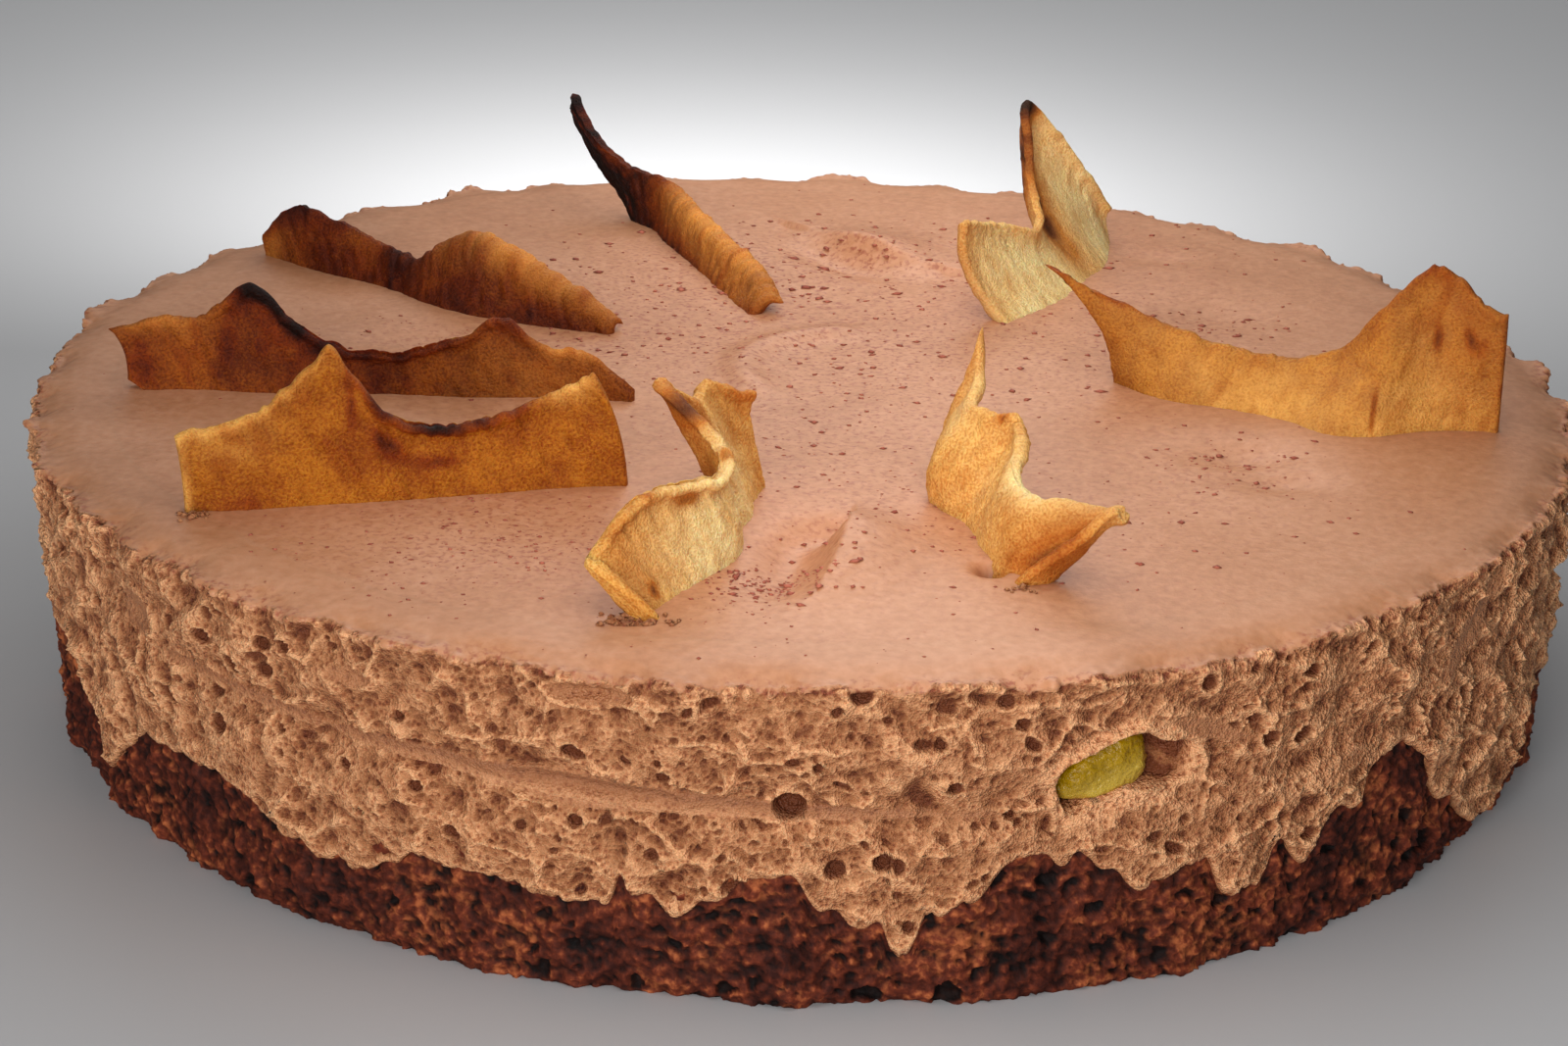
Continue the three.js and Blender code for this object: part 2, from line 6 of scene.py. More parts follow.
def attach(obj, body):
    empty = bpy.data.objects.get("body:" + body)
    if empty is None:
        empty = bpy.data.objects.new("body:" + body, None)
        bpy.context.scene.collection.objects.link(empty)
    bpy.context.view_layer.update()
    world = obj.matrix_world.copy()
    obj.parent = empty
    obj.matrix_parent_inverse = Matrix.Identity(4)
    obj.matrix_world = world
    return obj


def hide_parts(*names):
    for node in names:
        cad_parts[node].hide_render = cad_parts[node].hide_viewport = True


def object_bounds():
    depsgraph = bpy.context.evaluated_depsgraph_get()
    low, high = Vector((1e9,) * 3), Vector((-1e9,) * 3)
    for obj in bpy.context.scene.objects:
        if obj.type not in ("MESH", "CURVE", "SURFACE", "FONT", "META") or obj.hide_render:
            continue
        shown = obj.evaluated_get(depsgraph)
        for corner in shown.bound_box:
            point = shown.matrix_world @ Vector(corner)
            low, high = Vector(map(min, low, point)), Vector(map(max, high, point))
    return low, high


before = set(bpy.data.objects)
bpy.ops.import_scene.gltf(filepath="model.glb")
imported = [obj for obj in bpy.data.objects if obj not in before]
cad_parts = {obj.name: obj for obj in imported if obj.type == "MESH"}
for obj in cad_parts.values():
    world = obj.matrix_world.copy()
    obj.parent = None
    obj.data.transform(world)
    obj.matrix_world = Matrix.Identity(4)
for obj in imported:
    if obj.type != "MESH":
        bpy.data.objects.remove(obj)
cad_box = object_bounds()

# --------------------------------------------------------------------------------------
# SPONGE BASE
# The cake stands on a disc of dark chocolate sponge. It is baked, cooled and trimmed round
# its side, so that a coarse open crumb shows there, and the mousse is poured on top of it.
# --------------------------------------------------------------------------------------
# Shapes are worked out in millimetres and become metres as they are put into a mesh.

MM = 0.001
DEGREE = np.pi / 180
CAKE_HEIGHT = 45
RIM_RADIUS = 110
FOOT_RADIUS = 107.2
GIRTH = 2 * np.pi * RIM_RADIUS
SPONGE_INSET = 0.9
SPONGE_BEHIND = 3  # how far the sponge goes on up behind the mousse's lower edge
BOX_MARGIN = 0.05  # how far every mesh keeps inside the frame's box
SHOULDER = 0.92  # share of its radius where the sponge's hidden top begins
EDGE_HEIGHT = 17.5  # the mousse's lower edge, where no lobe hangs
TEAR_DEPTH = 1.1
TEAR_SPACING = 7
RIM_BAND = 5  # the height of the rim's teeth
TOOTH_REACH = 1.5
SEAM = dict(left=-143, right=-72, left_height=31, right_height=26, depth=0.9, half=3)

# Where the mousse hangs lower on the sponge (deep above 0) or stops short (deep below 0):
# angle in degrees, deep in millimetres, half width in degrees.
LOBES = [
    (-162, -2, 5), (-149, 10, 4), (-122, 6, 8), (-104, 4.5, 8), (-90.5, -2.5, 3), (-83, 9.5, 3),
    (-72.5, -4.5, 4), (-66, 3.5, 2.5), (-59, 7, 2.5), (-44.5, -7, 5), (-28.5, 14, 8), (-8, 4, 7),
    (16, 7, 5), (38, -4, 6), (62, 8, 5), (85, 3, 8), (108, 9, 4), (130, -4, 6), (152, 7, 6),
    (176, 4, 8),
]
# The small lobes and notches that break up the front of that edge, in the same terms.
SMALL_LOBES = [
    (-116, -1.8, 1), (-101.2, -3.6, 0.45), (-99.6, -1.2, 0.6), (-97, 2.4, 1.4), (-94.8, 1.6, 0.9),
    (-88.2, 3.4, 1.2), (-86, 1.4, 0.8), (-84.1, -2.8, 0.7), (-81.1, -2.4, 0.8), (-78, 2.2, 1.1),
    (-72, 2.8, 0.8), (-69.7, 1.8, 1.1), (-61.3, -1.8, 0.8), (-56.6, 3, 0.9), (-52.6, 5.5, 1.6),
    (-48, 4, 1.2), (-37.5, 2, 1.5), (-140, 1.5, 2), (-129, 1, 1.2),
]


def smoothstep(low, high, value):
    """0 at low and before it, 1 at high and beyond it, and 3t^2 - 2t^3 between them."""
    t = np.clip((value - low) / (high - low), 0, 1)
    return t * t * (3 - 2 * t)


def hump(distance, half):
    """A bell: e to the power of minus the square of distance over half."""
    return np.exp(-((distance / half) ** 2))


def lattice(i, j, k):
    """A steady random value from -1 to 1 at whole numbers: the fraction of a large sine."""
    wave = np.sin(i * 127.1 + j * 311.7 + k * 74.7) * 43758.5453
    return 2 * (wave - np.floor(wave)) - 1


def noise(x, y, z):
    """Smooth noise: the lattice values at the eight corners round a point, each weighed by
    3t^2 - 2t^3 of its nearness along the three axes."""
    x, y, z = np.broadcast_arrays(x, y, z)
    i, j, k = np.floor(x), np.floor(y), np.floor(z)
    u, v, w = (smoothstep(0, 1, t) for t in (x - i, y - j, z - k))
    total = 0.0
    for a in (0, 1):
        for b in (0, 1):
            for c in (0, 1):
                weight = (u if a else 1 - u) * (v if b else 1 - v) * (w if c else 1 - w)
                total = total + weight * lattice(i + a, j + b, k + c)
    return total


def spots_near(s, t, size, wander, salt):
    """The nine squares round each point of the unrolled side. Each square has a random spot,
    up to a share wander from its middle: the spot's place, and the square's column and row."""
    around = int(round(GIRTH / size))
    wide = GIRTH / around
    column, row = np.floor(s / wide), np.floor(t / size)
    for di in (-1, 0, 1):
        for dj in (-1, 0, 1):
            i, j = np.mod(column + di, around), row + dj
            spot_s = (column + di + 0.5 + wander * lattice(i, j, salt)) * wide
            spot_t = (j + 0.5 + wander * lattice(i, j, salt + 1)) * size
            yield spot_s, spot_t, i, j


def cells(s, t, size, salt):
    """Distances from points of the unrolled side to the nearest and the second nearest of
    its random spots, and a random number of the nearest."""
    near = np.full(s.shape, np.inf)
    second = near.copy()
    pick = np.zeros(s.shape)
    for spot_s, spot_t, i, j in spots_near(s, t, size, 0.45, salt):
        distance = np.hypot(s - spot_s, t - spot_t)
        closer = distance < near
        second = np.where(closer, near, np.minimum(second, distance))
        near = np.where(closer, distance, near)
        pick = np.where(closer, 0.5 + 0.5 * lattice(i, j, salt + 2), pick)
    return near, second, pick


def pores(s, t, size, small, large, share, salt):
    """Depth and lip of round hollows on the unrolled side. A share of the squares of the
    given size hold one, with a radius from small to large. Its depth is the root of the
    radius squared less the distance squared, it is wider than it is tall, and a bell of the
    distance from its border makes the lip."""
    deep, lip = np.zeros(s.shape), np.zeros(s.shape)
    for spot_s, spot_t, i, j in spots_near(s, t, size, 0.4, salt):
        pick = 0.5 + 0.5 * lattice(i, j, salt + 2)
        radius = small + (large - small) * np.clip(pick / share, 0, 1) ** 3
        stretch = 1.2 + 0.3 * lattice(i, j, salt + 3)
        reach = np.hypot((s - spot_s) / stretch, t - spot_t)
        bowl = np.sqrt(np.clip(radius**2 - reach**2, 0, None))
        border = 0.25 * radius * hump(reach - 1.1 * radius, 0.3 * radius)
        deep = np.maximum(deep, bowl * (pick < share))
        lip = np.maximum(lip, border * (pick < share))
    return deep, lip


def circle(radius, angle):
    """x and y at a radius and a direction in degrees: its cosine and sine times the radius."""
    return radius * np.cos(angle * DEGREE), radius * np.sin(angle * DEGREE)


def around_axis(radius, angle, z):
    """Points from a radius, a direction in degrees and a height."""
    return np.stack(np.broadcast_arrays(*circle(radius, angle), z), -1)


def side_noise(angle, z, spacing, salt):
    """Noise at a point of the side, with its hills the given spacing apart."""
    x, y = circle(RIM_RADIUS, angle)
    return noise(x / spacing + salt, y / spacing, z / spacing)


def side_noises(angle, z, *layers):
    """A sum of noises of the side: each layer's height, spacing and salt."""
    return sum(height * side_noise(angle, z, spacing, salt) for height, spacing, salt in layers)


def turned_from(angle, centre):
    """The distance between two directions in degrees, from 0 to 180."""
    return np.abs(np.mod(angle - centre + 180, 360) - 180)


def edge_height(angle):
    """Height of the mousse's lower edge: a mean height less a bell for each lobe, and less
    the size of two noises, whose small lobes are round below and pointed above."""
    lobes = (deep * hump(turned_from(angle, at), half) for at, deep, half in LOBES + SMALL_LOBES)
    small = 1.5 * np.abs(side_noise(angle, 0, 4.2, 3.5)) + 0.7 * np.abs(side_noise(angle, 0, 1.6, 8.5))
    return EDGE_HEIGHT - sum(lobes) - small


def rim_tooth(angle):
    """Teeth of the rim, from -0.6 to 1: a product of waves that leaves narrow points."""
    wave = 0.5 * np.sin(9 * angle * DEGREE + 1) + 0.5 * np.sin(23 * angle * DEGREE + 4)
    tear = 0.5 * np.sin(41 * angle * DEGREE + 2)
    return np.clip(wave * np.abs(wave) + tear, -0.6, 1)


def seam_place(angle, z):
    """Share of the way along the pour line, which sinks from left to right, and how far a
    point is above it."""
    angle = np.mod(angle + 180, 360) - 180
    share = (angle - SEAM["left"]) / (SEAM["right"] - SEAM["left"])
    return share, z - SEAM["left_height"] - (SEAM["right_height"] - SEAM["left_height"]) * share


def seam_share(angle, z):
    """1 on the smeared pour line, falling to 0 beside it and past its ends. Its width
    wanders."""
    share, above = seam_place(angle, z)
    shown = smoothstep(-0.1, 0.1, share) * (1 - smoothstep(0.9, 1.1, share))
    return shown * hump(above, SEAM["half"] * (1 + 0.35 * noise(share * 9, 0.5, 2.5)))


def wall_radius(angle, z):
    """Radius of the side: drawn in towards the foot, torn, grooved at the pour line, and
    with the rim's teeth in its top band."""
    plain = FOOT_RADIUS + (RIM_RADIUS - FOOT_RADIUS) * z / CAKE_HEIGHT
    x, y = circle(plain, angle)
    tear = TEAR_DEPTH * noise(x / TEAR_SPACING, y / TEAR_SPACING, z / TEAR_SPACING)
    seam = seam_share(angle, z)
    tooth = TOOTH_REACH * rim_tooth(angle) * smoothstep(CAKE_HEIGHT - RIM_BAND, CAKE_HEIGHT, z)
    return plain + tear * (1 - 0.7 * seam) - SEAM["depth"] * seam + tooth


def ring_quads(rows, columns, closed):
    """Corners of the quads between neighbouring rows and columns of a grid, whose points
    are numbered row by row. Closed joins the last column to the first."""
    last = columns if closed else columns - 1
    i, j = np.meshgrid(np.arange(rows - 1), np.arange(last), indexing="ij")
    k = (j + 1) % columns
    corners = [i * columns + j, (i + 1) * columns + j, (i + 1) * columns + k, i * columns + k]
    return np.stack(corners, -1).reshape(-1, 4)


def fan(ring, centre, flip=False):
    """Triangles from a closed ring of point numbers to one centre point."""
    after = np.roll(ring, -1)
    order = (after, ring) if flip else (ring, after)
    return np.stack([np.full(ring.shape, centre), *order], -1)


def pole_fans(rows, columns):
    """Triangles that close the first and last rings of a grid of closed rings. Its two poles
    are the points that follow the grid's."""
    first, pole = np.arange(columns), rows * columns
    last = pole - columns + first
    return np.concatenate([fan(first, pole), fan(last, pole + 1, flip=True)])


def put_mesh(name, points, quads, triangles, material, marks=None, cuts=None):
    """A smooth-shaded mesh object from points in millimetres, kept inside the CAD box and
    turned right side out by the sign of its volume. Marks are values at the points for the
    material. Cuts numbers the points' borders in bits: an edge within a border is sharp."""
    mesh = bpy.data.meshes.new(name)
    points = np.asarray(points, float).reshape(-1, 3)
    low, high = (np.array(corner) / MM for corner in cad_box)
    points = np.clip(points, low + BOX_MARGIN, high - BOX_MARGIN)
    points[:, 2] = np.maximum(points[:, 2], 0)
    quads, triangles = np.asarray(quads, int).reshape(-1, 4), np.asarray(triangles, int).reshape(-1, 3)
    split = np.concatenate([quads[:, :3], quads[:, [0, 2, 3]], triangles])
    a, b, c = (points[split[:, corner]] for corner in range(3))
    if np.sum(a * np.cross(b, c)) < 0:
        quads, triangles = quads[:, ::-1], triangles[:, ::-1]
    corners = np.concatenate([quads.ravel(), triangles.ravel()]).astype(np.int32)
    sizes = np.repeat([4, 3], [len(quads), len(triangles)])
    mesh.vertices.add(len(points))
    mesh.vertices.foreach_set("co", (points * MM).ravel())
    mesh.loops.add(len(corners))
    mesh.loops.foreach_set("vertex_index", corners)
    mesh.polygons.add(len(sizes))
    mesh.polygons.foreach_set("loop_start", (np.cumsum(sizes) - sizes).astype(np.int32))
    mesh.update(calc_edges=True)
    mesh.shade_smooth()
    for mark, values in (marks or {}).items():
        layer = mesh.attributes.new(mark, "FLOAT", "POINT")
        layer.data.foreach_set("value", np.asarray(values, np.float32).ravel())
    if cuts is not None:
        ends = np.zeros(len(mesh.edges) * 2, np.int32)
        mesh.edges.foreach_get("vertices", ends)
        ends = ends.reshape(-1, 2)
        sharp = (cuts[ends[:, 0]] & cuts[ends[:, 1]]) > 0
        mesh.attributes.new("sharp_edge", "BOOLEAN", "EDGE").data.foreach_set("value", sharp)
    mesh.materials.append(material)
    piece = bpy.data.objects.new(name, mesh)
    bpy.context.collection.objects.link(piece)
    return piece


def add_node(tree, kind, values=None, **settings):
    """A shader node with its settings and its sockets' values or incoming links."""
    made = tree.nodes.new(kind)
    for name, value in settings.items():
        setattr(made, name, value)
    for socket, value in (values or {}).items():
        if isinstance(value, bpy.types.NodeSocket):
            tree.links.new(value, made.inputs[socket])
        else:
            made.inputs[socket].default_value = value
    return made


def colour(red, green, blue):
    """A shader's linear colour from the 0 to 255 values of a screen."""
    screen = np.array([red, green, blue]) / 255
    linear = np.where(screen <= 0.04045, screen / 12.92, ((screen + 0.055) / 1.055) ** 2.4)
    return (*linear.tolist(), 1.0)


def ramp(tree, factor, stops):
    """A colour ramp driven by factor, through stops in rising order: each a place from 0 to
    1 and a colour on the screen's scale."""
    made = add_node(tree, "ShaderNodeValToRGB", {"Fac": factor})
    band = made.color_ramp
    for place, _ in stops[1:-1]:
        band.elements.new(place)
    for element, (place, tint) in zip(band.elements, stops):
        element.position = place
        element.color = colour(*tint)
    return made.outputs["Color"]


def blend_colours(tree, kind, factor, first, second):
    """A Mix node on colours: kind is its blend type, and each input a value or a link."""
    made = add_node(tree, "ShaderNodeMix", data_type="RGBA", blend_type=kind)
    for socket, value in ((made.inputs[0], factor), (made.inputs[6], first), (made.inputs[7], second)):
        if isinstance(value, bpy.types.NodeSocket):
            tree.links.new(value, socket)
        else:
            socket.default_value = value
    return made.outputs[2]


def mark_value(tree, mark):
    """A mark of the mesh as a shader value."""
    return add_node(tree, "ShaderNodeAttribute", attribute_name=mark).outputs["Fac"]


def add_bump(tree, shader, height, strength, distance):
    """Bumps on a shader's normal: strength of the effect and distance of its hills in metres."""
    values = {"Height": height, "Strength": strength, "Distance": distance}
    bump = add_node(tree, "ShaderNodeBump", values)
    tree.links.new(bump.outputs["Normal"], shader.inputs["Normal"])


def new_material(name, finish):
    """A material whose Principled shader holds the finish's values on its own sockets, and is
    joined to the output. Also its node tree and that shader."""
    material = bpy.data.materials.new(name)
    material.use_nodes = True
    tree = material.node_tree
    tree.nodes.clear()
    shader = add_node(tree, "ShaderNodeBsdfPrincipled", finish)
    add_node(tree, "ShaderNodeOutputMaterial", {"Surface": shader.outputs["BSDF"]})
    return material, tree, shader


def make_mottle_group():
    """Shared effect: patches of uneven tone. Two noises of the place, one coarse and one
    fine, are added and spread about a half."""
    group = bpy.data.node_groups.new("uneven_tone", "ShaderNodeTree")
    group.interface.new_socket("Patch scale", in_out="INPUT", socket_type="NodeSocketFloat")
    group.interface.new_socket("Grain scale", in_out="INPUT", socket_type="NodeSocketFloat")
    group.interface.new_socket("Tone", in_out="OUTPUT", socket_type="NodeSocketFloat")
    group.interface.new_socket("Grain", in_out="OUTPUT", socket_type="NodeSocketFloat")
    entry = group.nodes.new("NodeGroupInput")
    leave = group.nodes.new("NodeGroupOutput")
    place = add_node(group, "ShaderNodeTexCoord").outputs["Object"]
    patch, grain = (
        add_node(group, "ShaderNodeTexNoise", {"Vector": place, "Scale": scale, "Detail": detail})
        for scale, detail in ((entry.outputs[0], 3.0), (entry.outputs[1], 4.0))
    )
    both = add_node(group, "ShaderNodeMath", {0: patch.outputs[0], 1: grain.outputs[0]}, operation="ADD")
    limits = {"From Min": 0.7, "From Max": 1.3}
    spread = add_node(group, "ShaderNodeMapRange", {"Value": both.outputs[0], **limits})
    group.links.new(spread.outputs["Result"], leave.inputs["Tone"])
    group.links.new(grain.outputs[0], leave.inputs["Grain"])
    return group


uneven_tone = make_mottle_group()


def add_tone(tree, patch_scale, grain_scale):
    """The shared uneven tone, placed in a material with its own scales."""
    made = add_node(tree, "ShaderNodeGroup", node_tree=uneven_tone)
    made.inputs["Patch scale"].default_value = patch_scale
    made.inputs["Grain scale"].default_value = grain_scale
    return made


def make_sponge_material():
    """Dark cocoa crumb: reddish brown with paler crumbs, and painted shade that makes the voids nearly black.
    """
    finish = {"Roughness": 0.75, "Specular IOR Level": 0.18}
    material, tree, shader = new_material("sponge_crumb", finish)
    tone = add_tone(tree, patch_scale=90, grain_scale=900)
    crumb = ramp(tree, tone.outputs["Tone"], [
        (0.1, (54, 20, 13)), (0.45, (90, 38, 23)), (0.62, (114, 52, 31)), (0.9, (172, 98, 58)),
    ])
    # Painted shade: the relief mark darkens the crumb where it lies below its own average, most of all in the
    # voids.
    depth = ramp(tree, mark_value(tree, "relief"), [
        (0.15, (58, 48, 46)), (0.45, (190, 178, 172)), (0.75, (255, 246, 240)),
    ])
    tree.links.new(blend_colours(tree, "MULTIPLY", 1.0, crumb, depth), shader.inputs["Base Color"])
    add_bump(tree, shader, tone.outputs["Grain"], strength=0.6, distance=0.0006)
    return material


def local_relief(height, spread, full=1.2):
    """How far a grid of heights stands over its own average within spread points, put on a
    scale where 0.5 is level. The average is two running means along each side."""
    mean, count = height, 2 * spread + 1
    for axis in (0, 0, 1, 1):
        widths = [(spread + 1, spread) if side == axis else (0, 0) for side in (0, 1)]
        total = np.moveaxis(np.cumsum(np.pad(mean, widths, mode="edge"), axis), axis, 0)
        mean = np.moveaxis(total[count:] - total[:-count], 0, axis) / count
    return np.clip(0.5 + (height - mean) / full, 0, 1)


def crumb_relief(angle, z):
    """Relief of cut crumb, outward in millimetres: lumps between the borders of small cells,
    less round voids of two sizes, and three noises, on places that two more noises warp."""
    s = side_noises(angle, z, (1.1, 3, 7.5), (0.6, 1.1, 9.5))
    t = side_noises(angle, z, (0.9, 3, 17.5), (0.5, 1.1, 19.5))
    s, t = angle * DEGREE * RIM_RADIUS + s, z + t
    near, second, pick = cells(s, t, size=1.7, salt=11)
    lumps = np.clip((second - near) * 0.3 * (0.4 + pick), 0, 0.35) + 0.36 * (pick - 0.5)
    wide_voids, lips = pores(s, t, size=7.5, small=0.6, large=2, share=0.5, salt=31)
    small_voids, _ = pores(s, t, size=2.7, small=0.3, large=0.95, share=0.75, salt=41)
    relief = lumps - 0.9 * wide_voids - 0.9 * small_voids + 0.6 * lips
    relief += side_noises(angle, z, (0.5, 6, 1.5), (0.35, 1.4, 3.5)) - 0.2
    return relief + 0.3 * side_noise(angle, z, 0.7, 5.5)


def make_sponge():
    """A turned skin: rings run from the hidden top over the crumbly side to the flat
    underside. The side's radius is the wall's less an inset, plus the crumb's relief, and it
    is drawn in at the worn foot."""
    columns, side_rows = 1500, 56
    angle = (np.arange(columns) * 360 / columns - 180)[None, :]
    edge = edge_height(angle)
    top = edge + SPONGE_BEHIND
    z = top * np.linspace(1, 0, side_rows)[:, None]
    relief = crumb_relief(angle, z)
    foot = 0.9 * (1 - smoothstep(0, 2.5, z)) * (0.6 + 0.5 * side_noise(angle, 0, 2.7, 2.5))
    radius = wall_radius(angle, edge) - SPONGE_INSET - 0.6 * (1 - z / top) + relief - foot
    side = around_axis(radius, angle, z)
    rings = np.concatenate([around_axis(SHOULDER * radius[:1], angle, z[:1]), side])
    rows = len(rings)
    poles = np.array([[0, 0, top.mean()], [0, 0, 0]])
    points = np.concatenate([rings.reshape(-1, 3), poles])
    # The relief mark carries the painted shade of the crumb's voids.
    marks = local_relief(relief, spread=7)
    marks = np.append(np.concatenate([marks[:1], marks]).ravel(), [0.5, 0.5])
    quads, triangles = ring_quads(rows, columns, closed=True), pole_fans(rows, columns)
    sponge = put_mesh("sponge_base", points, quads, triangles, make_sponge_material(), {"relief": marks})
    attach(sponge, "root")
    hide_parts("sponge")


make_sponge()

# --------------------------------------------------------------------------------------
# MOUSSE
# Whipped chocolate mousse, poured on the sponge inside a ring, chilled, and swirled smooth
# on top. The ring was pulled off, so its side is torn foam: pores, flakes and a smeared line
# between two pours, a ragged rim, and a thin lobed edge that clings to the sponge.
# --------------------------------------------------------------------------------------
# The top is one piece out to TOP_REACH, and the side is four pieces, a quarter each.

TOP_REACH = 99
TOOTH_RISE = 0.8
RIM_SPAN = RIM_RADIUS - TOP_REACH
FOLDS = [
    dict(start=(-7, -92), bend=(3.6, -90.5), end=(5.8, -67), rise=4, steep=2.6, gentle=9, peak=1),
    dict(start=(18, 57), bend=(10, 62), end=(1, 73), rise=3, steep=2.6, gentle=8, peak=0.5),
]
ARC = dict(centre=(10, 4), radius=19, start=115, end=195, rise=1.3, half=3)
HOLE = (24.2, -73.6)  # beside a crisp's foot
# All dents of the top: place, half widths, depth.
DENTS = [
    ((61, -27), (7, 5), 1.5), ((65, -37), (6, 4), 1.2), ((63, 36), (9, 7), 1.2),
    ((57, 63), (6, 4), 0.8), ((-52, 12), (14, 5), 1), (HOLE, (1.6, 1.8), 3.6),
    ((38, -88), (6, 4), 0.4), ((-20.8, -92), (2.4, 1.2), 0.9),
]
# Large pores of the front: angle, height, radius.
LARGE_PORES = [
    (-90.2, 27.9, 1.9), (-87.2, 19.4, 1.25), (-84.1, 20.5, 1.25), (-79.8, 30.5, 0.95),
    (-82.1, 36.6, 0.8), (-80.9, 36.5, 0.8), (-130.7, 33.7, 1.5), (-127.5, 38.2, 1.1),
    (-125.5, 38.7, 1.2), (-127.5, 34.6, 1.2), (-85.9, 43.2, 1.3), (-76.7, 41.6, 1.0),
    (-75.6, 38.6, 0.9), (-135.2, 21.6, 0.9), (-120.9, 25, 0.8), (-115.3, 24.6, 0.9),
    (-98.3, 31, 0.8), (-116.5, 33.5, 0.8), (-54.5, 30.5, 1.3), (-57.5, 31.5, 1.2),
]
# Smooth smears of the side: angle, height, half width, half height, tilt in degrees, hollow.
SMEARS = [
    (-103, 28.6, 11, 1.5, -3, 0.9), (-120, 37.6, 3.6, 1.3, 4, 0.6), (-103, 41.2, 5.2, 1.5, 0, 1.5),
    (-62.3, 34.4, 6.5, 1.5, -22, 0.3), (-142, 34, 4, 3, 0, 0.4), (-36, 36, 9, 2.5, 35, 0.5),
    (75, 32, 7, 2, 12, 0.6), (140, 28, 9, 2.4, -8, 0.6), (10, 34, 8, 2, 6, 0.6),
    (185, 33, 8, 2.2, 10, 0.6),
]
# Where cocoa was dusted on: middle x and y, spreads in x and y, how many flecks, their size.
DUSTED = [
    (-42, -62, 13, 9, 150, 0.5), (-30, -72, 14, 7, 110, 0.5), (-56, -80, 16, 8, 60, 0.45),
    (-3.5, -79, 5, 3.2, 170, 0.8), (-8, -87, 7, 4, 45, 0.45), (2, -25, 13, 16, 110, 0.7),
    (10, -55, 10, 12, 60, 0.8), (34, -62, 14, 12, 60, 0.7), (55, -42, 12, 10, 60, 0.6),
    (8, 14, 22, 14, 150, 0.8), (-20, 42, 14, 16, 150, 0.9), (8, 60, 20, 14, 170, 1.0),
    (-45, 12, 18, 6, 120, 0.7), (45, 30, 18, 18, 90, 0.7), (60, 70, 16, 10, 60, 0.7),
    (-2, -102, 28, 4, 40, 0.35), (0, 0, 62, 62, 260, 0.5), (62, 30, 6, 5, 50, 0.8),
    (60, -30, 6, 5, 60, 0.8), (-20.6, -91.8, 1.6, 0.9, 160, 0.3),
]


def bezier(start, bend, end, count):
    """Points of a curve with one bend: (1-t)^2 start + 2t(1-t) bend + t^2 end."""
    t = np.linspace(0, 1, count)[:, None]
    return (1 - t) ** 2 * np.array(start) + 2 * t * (1 - t) * np.array(bend) + t * t * np.array(end)


def fold_height(fold, x, y):
    """A ridge along a curve: sharp on its left, by e to the minus distance to the power 1.2,
    with a hollow beyond, a wide bell on its right, and fading away from its peak."""
    path = bezier(fold["start"], fold["bend"], fold["end"], 49)
    ahead = np.gradient(path, axis=0)
    apart = np.stack([x.ravel()[:, None] - path[:, 0], y.ravel()[:, None] - path[:, 1]])
    distance = np.hypot(*apart)
    near = distance.argmin(1)
    distance = distance[np.arange(len(near)), near].reshape(x.shape)
    away = apart[:, np.arange(len(near)), near]
    left = (ahead[near, 0] * away[1] - ahead[near, 1] * away[0] > 0).reshape(x.shape)
    crest = np.where(left, np.exp(-((distance / fold["steep"]) ** 1.2)), hump(distance, fold["gentle"]))
    hollow = 0.6 * left * hump(distance - 2.4 * fold["steep"], 1.6 * fold["steep"])
    along = (near / (len(path) - 1)).reshape(x.shape)
    return fold["rise"] * (crest - hollow) * hump(along - fold["peak"], 0.45)


def top_height(x, y):
    """Height of the swirled top: two noises for gentle swells, the folds, an arc with faded
    ends, less a bell for each dent, and an edge that rolls off into the rim's teeth."""
    radius, angle = np.hypot(x, y), np.arctan2(y, x) / DEGREE
    height = CAKE_HEIGHT + 0.7 * noise(x / 34 + 3, y / 26, 1.5) + 0.3 * noise(x / 12, y / 12 + 5, 4.5)
    height += sum(fold_height(fold, x, y) for fold in FOLDS)
    arc_x, arc_y = x - ARC["centre"][0], y - ARC["centre"][1]
    turn = np.mod(np.arctan2(arc_y, arc_x) / DEGREE, 360)
    begun = smoothstep(ARC["start"] - 30, ARC["start"], turn)
    shown = begun * (1 - smoothstep(ARC["end"], ARC["end"] + 40, turn))
    height += ARC["rise"] * shown * hump(np.hypot(arc_x, arc_y) - ARC["radius"], ARC["half"])
    for place, half, depth in DENTS:
        height -= depth * hump(np.hypot((x - place[0]) / half[0], (y - place[1]) / half[1]), 1)
    height -= 1.1 * smoothstep(RIM_RADIUS - 9, RIM_RADIUS, radius) ** 2
    return height + TOOTH_RISE * rim_tooth(angle) * smoothstep(RIM_RADIUS - 4, RIM_RADIUS, radius)


def turned_places(angle, z, middle, height, tilt):
    """Distances along and up from a middle of the side, in axes turned by a tilt in degrees."""
    around = (np.mod(angle - middle + 180, 360) - 180) * DEGREE * RIM_RADIUS
    up = z - height
    cosine, sine = np.cos(tilt * DEGREE), np.sin(tilt * DEGREE)
    return around * cosine + up * sine, up * cosine - around * sine


